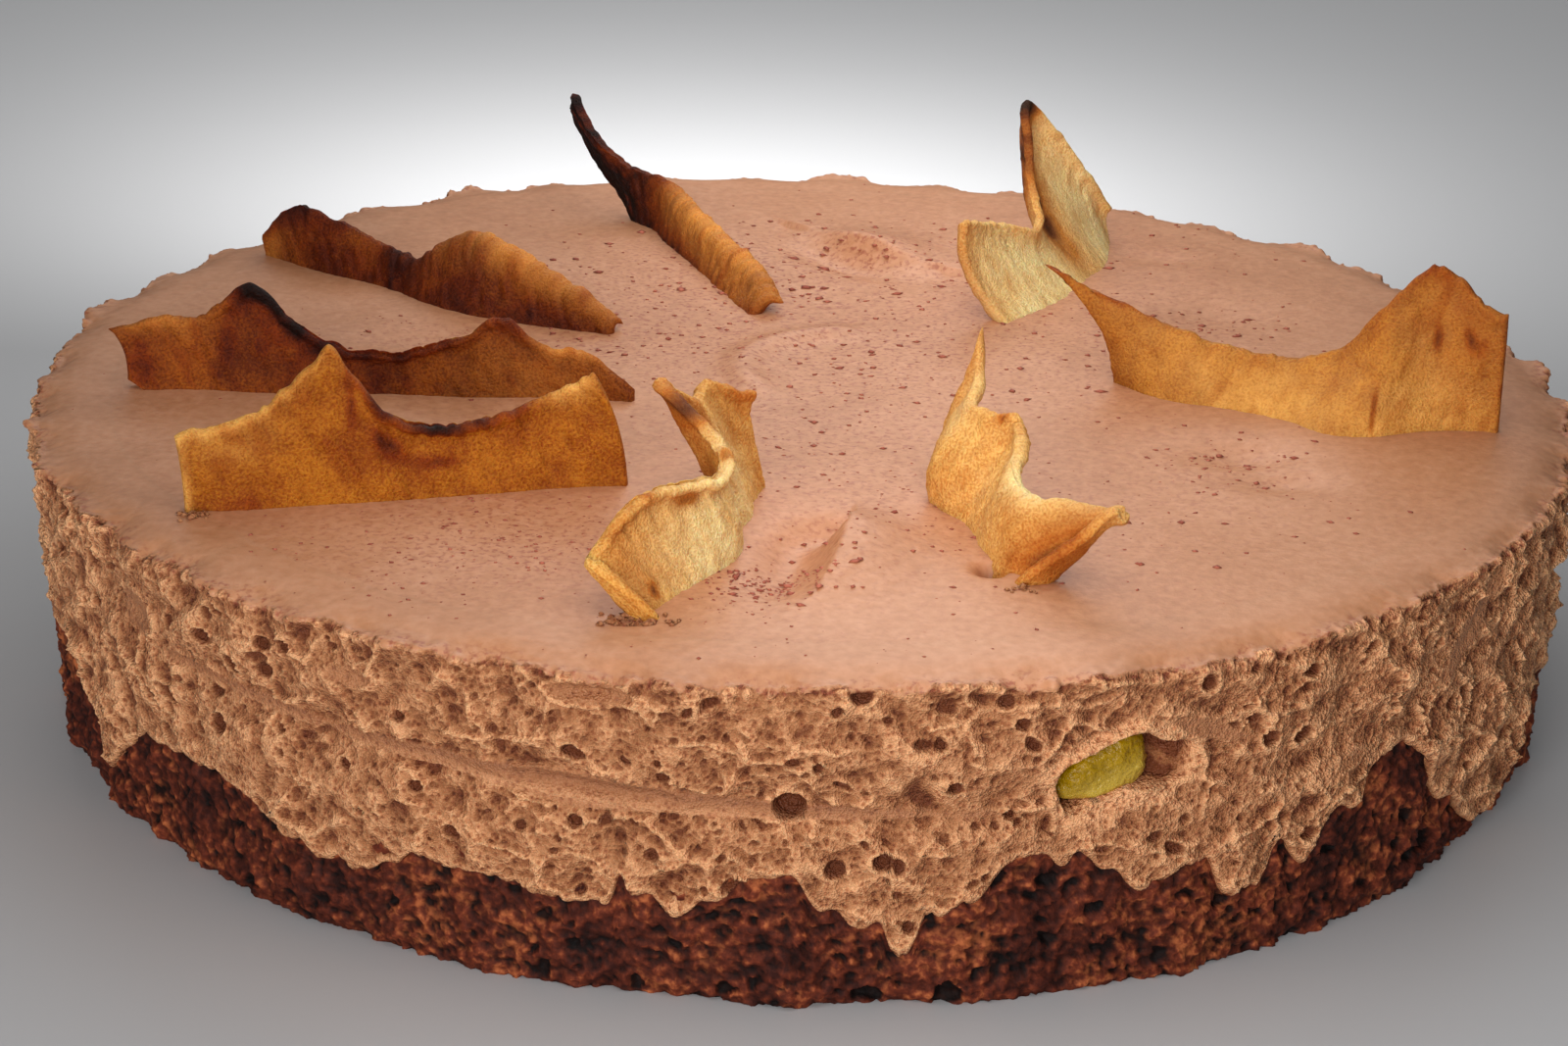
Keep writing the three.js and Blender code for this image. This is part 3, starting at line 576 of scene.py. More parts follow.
def smears(angle, z):
    """Where the side is smeared smooth, from 0 to 1: along the thick part of the pour line
    and in each smear. Also the smears' own relief, a hollow inside a raised border."""
    thin = 0.9 - 0.3 * hump(turned_from(angle, -103), 11) + 0.06 * side_noise(angle, z, 3, 45.5)
    smooth = smoothstep(thin, thin + 0.08, seam_share(angle, z))
    dish = np.zeros(z.shape)
    for at, height, half_along, half_up, tilt, hollow in SMEARS:
        along, up = turned_places(angle, z, at, height, tilt)
        reach = np.hypot(along / half_along, up / half_up)
        reach = reach * (1 + 0.15 * side_noise(angle, z, 3, 47.5))
        smooth = np.maximum(smooth, 1 - smoothstep(0.75, 1.1, reach))
        dish = dish + hollow * (0.45 * hump(reach - 1.15, 0.16) - (1 - smoothstep(0, 1.05, reach)))
    return smooth, dish


def foam(angle, z):
    """Relief of torn foam on the side, outward in millimetres, with marks for the painted shade
    in its pores and for smoothness. Broad cells of a warped pattern give flakes with raised
    borders, finer cells give a net of thin walls, and the pores are cut in. Smears fade all of it."""
    s = side_noises(angle, z, (1.4, 6, 1.5), (0.5, 2, 3.5))
    t = side_noises(angle, z, (1.1, 6, 21.5), (0.4, 2, 23.5))
    s, t = angle * DEGREE * RIM_RADIUS + s, z + t
    near, second, pick = cells(s, 1.45 * t, size=10, salt=51)
    broken = smoothstep(-0.25, 0.45, side_noise(angle, z, 5, 31.5))
    border = second - near
    relief = 0.75 * hump(border, 0.75) * broken - 0.5 * (1 - smoothstep(0.5, 5, near)) * pick
    relief += 0.5 * (pick - 0.5) * smoothstep(0.4, 2.5, border)
    near, second, pick = cells(s, 1.2 * t, size=3.4, salt=61)
    border = second - near
    relief += 0.32 * hump(border, 0.5) * broken + 0.35 * (pick - 0.5) * smoothstep(0.2, 1, border)
    near, second, pick = cells(s, t, size=1.5, salt=71)
    relief += 0.16 * hump(second - near, 0.3) - 0.2 * pick * (1 - smoothstep(0.1, 0.6, near))
    relief += 0.14 * side_noise(angle, z, 1.1, 41.5)
    smooth, dish = smears(angle, z)
    deep, lip = pores(s, t, size=11, small=0.7, large=1.7, share=0.3, salt=81)
    for size, small, large, share, salt in ((4.3, 0.4, 1.15, 0.5, 91), (2.1, 0.25, 0.55, 0.65, 101)):
        cut, raised = pores(s, t, size, small, large, share, salt)
        deep, lip = np.maximum(deep, cut), lip + raised
    deep, lip = deep * (1 - smooth), lip * (1 - smooth)
    for at, height, radius in LARGE_PORES:
        reach = np.hypot(turned_from(angle, at) * DEGREE * RIM_RADIUS / 1.15, z - height)
        deep = np.maximum(deep, 1.2 * np.sqrt(np.clip(radius**2 - reach**2, 0, None)))
        lip = lip + 0.2 * radius * hump(reach - 1.12 * radius, 0.25 * radius)
    lumps = side_noises(angle, z, (0.55, 3.4, 48.5), (0.3, 1.7, 49.5)) - 0.3
    relief = (relief + lumps) * (1 - 0.9 * smooth) * smoothstep(-0.2, 0.8, 0.8 - deep)
    relief = relief + dish + lip - 1.15 * deep
    return relief, np.clip(deep / 1.3, 0, 1), smooth


def make_mousse_material():
    """One material for skin and foam. The smooth skin is a satin milk-chocolate tone. The foam is tan,
    with painted light from its own relief: a painted highlight on ridges, painted shade in
    hollows, and darker painted shade in pores and tiny bubbles."""
    material, tree, shader = new_material("chocolate_mousse", {
        "Specular IOR Level": 0.32, "Subsurface Weight": 0.12,
        "Subsurface Radius": (0.003, 0.0014, 0.0008), "Subsurface Scale": 1.0,
    })
    skin = mark_value(tree, "skin")
    tone = add_tone(tree, patch_scale=26, grain_scale=700)
    place = add_node(tree, "ShaderNodeTexCoord").outputs["Object"]
    satin = ramp(tree, tone.outputs["Tone"], [
        (0.0, (176, 119, 82)), (0.5, (190, 132, 94)), (1.0, (201, 144, 108)),
    ])
    # Painted highlight on raised foam and painted shade in its hollows, from the ridge mark.
    foam_tint = ramp(tree, mark_value(tree, "ridge"), [
        (0.1, (118, 62, 34)), (0.36, (174, 113, 72)), (0.55, (200, 138, 94)), (0.85, (240, 176, 126)),
    ])
    bubble = add_node(tree, "ShaderNodeTexVoronoi", {"Vector": place, "Scale": 1150.0})
    # Painted shade in tiny bubbles: darker at each bubble's middle, where the bump sinks.
    bubble_shade = ramp(tree, bubble.outputs["Distance"], [
        (0.08, (140, 92, 72)), (0.28, (216, 190, 176)), (0.5, (255, 255, 255)),
    ])
    foam_tint = blend_colours(tree, "MULTIPLY", 0.8, foam_tint, bubble_shade)
    tint = blend_colours(tree, "MIX", skin, foam_tint, satin)
    powder = add_node(tree, "ShaderNodeTexNoise", {"Vector": place, "Scale": 1200.0, "Detail": 3.0})
    limits = {"From Min": 0.5, "From Max": 0.68}
    grains = add_node(tree, "ShaderNodeMapRange", {"Value": powder.outputs[0], **limits})
    factors = {0: grains.outputs[0], 1: mark_value(tree, "dust")}
    dust = add_node(tree, "ShaderNodeMath", factors, operation="MULTIPLY")
    tint = blend_colours(tree, "MIX", dust.outputs[0], tint, colour(146, 70, 50))
    # Painted shade in the pores and in the hole beside a crisp's foot.
    tint = blend_colours(tree, "MIX", mark_value(tree, "pit_shade"), tint, colour(104, 52, 26))
    tree.links.new(tint, shader.inputs["Base Color"])
    fine = add_node(tree, "ShaderNodeTexVoronoi", {"Vector": place, "Scale": 3000.0})
    terms = {0: bubble.outputs["Distance"], 1: fine.outputs["Distance"]}
    both = add_node(tree, "ShaderNodeMath", terms, operation="ADD")
    wrinkle = add_node(tree, "ShaderNodeMath", {0: tone.outputs["Grain"], 1: 0.25}, operation="MULTIPLY")
    ends = {"A": both.outputs[0], "B": wrinkle.outputs[0]}
    height = add_node(tree, "ShaderNodeMix", {"Factor": skin, **ends})
    add_bump(tree, shader, height.outputs["Result"], strength=0.85, distance=0.00045)
    rough = add_node(tree, "ShaderNodeMapRange", {"Value": skin, "To Min": 0.62, "To Max": 0.48})
    tree.links.new(rough.outputs["Result"], shader.inputs["Roughness"])
    return material


mousse_material = make_mousse_material()


def claim_mousse(piece):
    """The frame calls that all five pieces of the mousse share."""
    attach(piece, "root")
    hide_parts("mousse")


def make_mousse_top():
    """The swirled top inside TOP_REACH: a square grid bent to a disc, where a point's larger
    coordinate is its radius and their ratio its angle, raised to the top's height. A short
    wall and a flat underside close it."""
    count = 312
    a, b = np.meshgrid(*[np.linspace(-1, 1, count)] * 2, indexing="ij")
    wide = np.abs(a) > np.abs(b)
    radius = np.where(wide, a, b)
    turn = np.where(wide, np.pi / 4 * b / radius, np.pi / 2 - np.pi / 4 * a / radius)
    x, y = TOP_REACH * radius * np.cos(turn), TOP_REACH * radius * np.sin(turn)
    grid = np.arange(count * count).reshape(count, count)
    loop = np.concatenate([grid[:-1, 0], grid[-1, :-1], grid[:0:-1, -1], grid[0, :0:-1]])
    top = np.stack([x, y, top_height(x, y)], -1).reshape(-1, 3)
    underside = CAKE_HEIGHT - RIM_BAND
    low = top[loop] * [1, 1, 0] + [0, 0, underside]
    points = np.concatenate([top, low, [[0, 0, underside]]])
    lower = len(top) + np.arange(len(loop))
    wall = np.stack([np.roll(loop, -1), loop, lower, np.roll(lower, -1)], -1)
    cuts = np.zeros(len(points), int)
    cuts[loop] = 1
    x, y = points[:, 0], points[:, 1]
    marks = dict(skin=np.ones(len(points)), ridge=np.full(len(points), 0.5))
    # Painted shade in the hole beside a crisp's foot.
    marks["pit_shade"] = 0.95 * hump(np.hypot(x - HOLE[0], y - HOLE[1]), 1.4)
    marks["dust"] = sum(
        min(0.0025 * flecks, 0.4) * hump(np.hypot((x - at_x) / spread_x, (y - at_y) / spread_y), 1.5)
        for at_x, at_y, spread_x, spread_y, flecks, _ in DUSTED
    )
    quads = np.concatenate([ring_quads(count, count, closed=False), wall])
    triangles = fan(lower, len(points) - 1, flip=True)
    claim_mousse(put_mesh("mousse_top", points, quads, triangles, mousse_material, marks, cuts))


make_mousse_top()

# The pocket that the fruit sits in, and the hollow beside it.
FRUIT = dict(angle=-69.3, height=30, tilt=22, width=13, tall=8.5, deep=11, recess=1)
HOLLOW = dict(angle=-65.2, height=30.5, tilt=0, width=9, tall=6)
POCKET_DEPTH = 5.5
LEDGE_DROP = 2.8  # how far below the fruit's middle the ledge that covers its foot begins


def pocket_reach(block, angle, z):
    """How far a point of the side is from a pocket's middle, 1 at its border: the root of
    the fourth powers of its turned distances, each over a half width. Also those distances."""
    along, up = turned_places(angle, z, block["angle"], block["height"], block["tilt"])
    return ((2 * along / block["width"]) ** 4 + (2 * up / block["tall"]) ** 4) ** 0.25, along, up


def side_path(angle, edge):
    """The smooth section at each angle. It comes in along the top, turns over the rim on a
    hyperbola and goes down the wall to the edge. Gives each point's distance past the rim,
    negative on the top, its radius and height, and how far it faces out, from 0 to 1."""
    drop = top_height(*circle(RIM_RADIUS, angle)) - edge
    over = -RIM_SPAN * np.linspace(1, 0, 26) ** 1.4
    down = np.linspace(0, 1, 114)[1:]
    past = np.concatenate([over + 0 * drop, down * drop], 1)
    bend = np.sqrt(past**2 + (1.2 * smoothstep(-RIM_SPAN, -4, past)) ** 2)
    back, fall = -(bend - past) / 2, -(bend + past) / 2
    z = top_height(*circle(RIM_RADIUS + back, angle)) + fall
    wall = wall_radius(angle, np.minimum(z, CAKE_HEIGHT))
    radius = TOP_REACH + (wall - TOP_REACH) * (1 + back / RIM_SPAN)
    return past, radius, z, (1 + past / bend) / 2


def rim_skin(angle, z, past):
    """How far past the rim the smooth skin ends, on a ragged line, and marks for the skin and
    for the cocoa that lies along the rim."""
    border = 0.1 + 0.8 * side_noise(angle, 0, 5, 5.5) + 0.8 * side_noise(angle, 0, 1.6, 9.5)
    border = border + 0.6 * side_noise(angle, z, 0.6, 9.5)
    skin = 1 - smoothstep(border - 0.15, border + 0.15, past)
    dust = 0.75 * smoothstep(-3.2, 0, past + 1.4 * side_noise(angle, 0, 3, 7.5))
    return border, skin, dust * (1 - smoothstep(0.5, 1.5, past))


def torn_relief(relief, angle, z, past, above, border, skin):
    """The foam's relief where it isn't skin, with tufts and ripples at the rim, crags at the
    left and right of the cake, and a thin drawn-in edge at the bottom."""
    tufts = 1.3 * np.maximum(side_noise(angle, 0, 2.1, 13.5), 0)
    tufts += 0.9 * np.maximum(side_noise(angle, 0, 0.9, 17.5), 0)
    relief = relief * (1 - skin) + tufts * hump(past - 0.4, 0.9) + 0.2 * hump(past - border + 0.25, 0.35)
    relief += 0.16 * side_noise(angle, past, 1.3, 53.5) * skin * smoothstep(-5, -0.5, past)
    crag = side_noises(angle, z, (1, 3.4, 57.5), (0.4, 1.5, 59.5))
    crag = crag * (hump(turned_from(angle, -170), 26) + hump(turned_from(angle, -8), 26))
    relief += 1.3 * crag * smoothstep(-1, 1, past) * smoothstep(1, 5, above)
    return relief * (0.35 + 0.65 * smoothstep(0, 1.6, above)) - 0.5 * (1 - smoothstep(0, 1.3, above)) ** 2


def cut_pocket(relief, pit_shade, angle, z):
    """Relief and the pores' painted shade with the fruit's pocket and the hollow beside it cut
    in. The two join by a soft minimum of their reaches. A ledge covers the pocket's foot, the
    hollow's lower right is shallow, and a smooth lip hangs over both; the pores' painted shade
    is left out inside them and on the lip."""
    near_fruit, _, above_fruit = pocket_reach(FRUIT, angle, z)
    near_hollow, along_hollow, above_hollow = pocket_reach(HOLLOW, angle, z)
    ledge = smoothstep(0.5, -0.5, above_fruit + LEDGE_DROP + 0.5 * side_noise(angle, z, 2, 51.5))
    reach = -np.log(np.exp(-5 * (near_fruit + 0.5 * ledge)) + np.exp(-5 * near_hollow)) / 5
    inside = 1 - smoothstep(0.95 - 0.5 * smoothstep(0, 4, along_hollow), 1.07, reach)
    lip = smoothstep(0, 1, np.minimum(above_fruit, above_hollow + 1)) * hump(reach - 1.16, 0.1)
    shallow = smoothstep(-3, 4.5, along_hollow) * smoothstep(2, -2.5, above_hollow - 0.2 * along_hollow)
    relief = relief * (1 - inside) * (1 - 0.7 * lip) - POCKET_DEPTH * inside * (1 - 0.8 * shallow) + 0.6 * lip
    return relief, pit_shade * (1 - inside) * (1 - lip)


def side_surface(angle, edge):
    """The side's radius and height at each angle and step of the section, with its relief
    along its slope, and its marks. A smear's tone is painted shade on the pour line's upper
    edge and a painted highlight under it. The ridge mark paints highlight on raised foam and
    shade in its hollows, and is raised just above the lower edge, which makes a paler line there."""
    past, radius, z, outward = side_path(angle, edge)
    above = z - edge
    border, skin, dust = rim_skin(angle, z, past)
    relief, pit_shade, smooth = foam(angle, z)
    relief = torn_relief(relief, angle, z, past, above, border, skin)
    relief, pit_shade = cut_pocket(relief, pit_shade * (1 - skin), angle, z)
    _, over_seam = seam_place(angle, z)
    # Painted shade on the pour line's upper edge and a painted highlight on its lower lip.
    smear = 0.38 - 0.16 * hump(over_seam - 0.9, 0.9) + 0.3 * hump(over_seam + 1.3, 0.7)
    # Painted highlight on raised foam and painted shade in its hollows.
    ridge = local_relief(relief, spread=6)
    ridge = np.clip(ridge + 0.25 * hump(above - 0.3, 0.5), 0, 1) * (1 - smooth) + smear * smooth
    marks = dict(skin=np.maximum(skin, 0.3 * smooth), ridge=ridge, pit_shade=pit_shade, dust=dust)
    return radius + relief * outward, z + relief * (1 - outward), marks


def make_mousse_side(name, start):
    """A quarter of the side from the start angle: the surface's section is tucked in behind
    its lower edge and returns up the inside, and the closed section is carried round. At each
    end, a smaller section inside it and a middle point close the quarter. Spare columns past
    both ends, for averages that reach over them, aren't shown."""
    columns, spare = 620, 12
    step = 90 / (columns - 1)
    angle = (start + step * np.arange(-spare, columns + spare))[:, None]
    edge = edge_height(angle)
    radius, z, marks = side_surface(angle, edge)
    last_r, last_z = radius[:, -1:], z[:, -1:]
    back, under = np.full(last_r.shape, TOP_REACH), np.full(last_z.shape, CAKE_HEIGHT - RIM_BAND)
    tuck_r = np.concatenate([last_r - 0.35, last_r - 0.9, last_r - 3, back, back], 1)
    tuck_z = np.concatenate([last_z - 0.12, last_z + 0.1, last_z + 0.8, last_z + 1, under], 1)
    radius, z = np.concatenate([radius, tuck_r], 1), np.concatenate([z, tuck_z], 1)
    shown = slice(spare, spare + columns)
    section = around_axis(radius, angle, z)[shown]
    rows = section.shape[1]
    core_r, core_z = np.clip(radius, TOP_REACH + 1, TOP_REACH + 4), np.clip(z, edge + 2.5, CAKE_HEIGHT - 4)
    core_r, core_z = core_r + 0.03 * (radius - core_r), core_z + 0.03 * (z - core_z)
    core = around_axis(core_r, angle, core_z)[shown][[0, -1]]
    points = np.concatenate([section.reshape(-1, 3), core.reshape(-1, 3), core.mean(1)])
    first = np.arange(rows)
    last, first_core, last_core = (first + count * rows for count in (columns - 1, columns, columns + 1))
    caps = [
        np.stack([inner, outer, np.roll(outer, -1), np.roll(inner, -1)], -1)
        for outer, inner in ((first, first_core), (last, last_core))
    ]
    middle = len(points) - 2
    triangles = np.concatenate([fan(first_core, middle), fan(last_core, middle + 1, flip=True)])
    cuts = np.zeros((columns, rows), int)
    cuts[:, 0] = 1
    cuts[[0, -1]] |= 2
    unseen = len(points) - columns * rows
    cuts = np.append(cuts.ravel(), np.zeros(unseen, int))
    for mark, values in marks.items():
        values = np.pad(values[shown], ((0, 0), (0, tuck_r.shape[1])), mode="edge")
        marks[mark] = np.append(values.ravel(), np.full(unseen, 0.5))
    quads = np.concatenate([ring_quads(columns, rows, closed=True), caps[0], caps[1][:, ::-1]])
    claim_mousse(put_mesh(name, points, quads, triangles, mousse_material, marks, cuts))


for name, start in (("left", 135), ("front", -135), ("right", -45), ("back", 45)):
    make_mousse_side("mousse_side_" + name, start)

# --------------------------------------------------------------------------------------
# FRUIT CHUNK
# One piece of soft yellow-green fruit was stirred into the mousse. It shows in a pocket that
# opened in the side as the ring came off: wet, translucent, and paler along its lower edge.
# --------------------------------------------------------------------------------------


def make_fruit_material():
    """Wet flesh: yellow green, mottled, and paler where the mesh is marked low."""
    material, tree, shader = new_material("wet_fruit", {
        "Roughness": 0.28, "Specular IOR Level": 0.34, "Subsurface Weight": 0.25,
        "Subsurface Radius": (0.004, 0.0035, 0.0008), "Subsurface Scale": 1.0,
    })
    tone = add_tone(tree, patch_scale=160, grain_scale=1400)
    flesh = ramp(tree, tone.outputs["Tone"], [(0.1, (126, 97, 0)), (0.9, (172, 135, 0))])
    tint = blend_colours(tree, "MIX", mark_value(tree, "low"), flesh, colour(190, 158, 58))
    tree.links.new(tint, shader.inputs["Base Color"])
    add_bump(tree, shader, tone.outputs["Grain"], strength=0.8, distance=0.0006)
    return material


def make_fruit():
    """A block rounded by powers of sines and cosines of two turns, lumpy, tilted, and set in
    the side with its outer face a little inside the wall."""
    turn, tilt = np.meshgrid(np.linspace(-180, 180, 97)[:-1], np.linspace(88, -88, 61))
    cosine, sine = circle(1, tilt)
    ball = *circle(cosine, turn), sine
    x, y, z = (np.sign(part) * np.abs(part) ** 0.6 for part in ball)
    lump = 1 + 0.06 * noise(3 * x + 7, 3 * y, 3 * z) + 0.015 * noise(14 * x, 14 * y, 14 * z)
    half = np.array([FRUIT["deep"], FRUIT["width"], FRUIT["tall"]]) / 2
    local = np.stack([x, y, z * (0.92 + 0.2 * y - 0.16 * y**2)], -1) * half * lump[..., None]
    poles = np.stack([local[0].mean(0), local[-1].mean(0)])
    local = np.concatenate([local.reshape(-1, 3), poles])
    middle, tilted = FRUIT["angle"], Matrix.Rotation(FRUIT["tilt"] * DEGREE, 3, "X")
    spin = Matrix.Rotation(middle * DEGREE, 3, "Z") @ tilted
    reach = wall_radius(np.array(middle), np.array(FRUIT["height"])) - FRUIT["recess"] - half[0]
    points = local @ np.array(spin).T + around_axis(reach, middle, FRUIT["height"])
    low = 1 - smoothstep(-0.5, 0.3, local[:, 2] / half[2])
    quads, triangles = ring_quads(*turn.shape, closed=True), pole_fans(*turn.shape)
    fruit = put_mesh("fruit_chunk", points, quads, triangles, make_fruit_material(), dict(low=low))
    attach(fruit, "root")
    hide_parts("fruit_piece")


make_fruit()
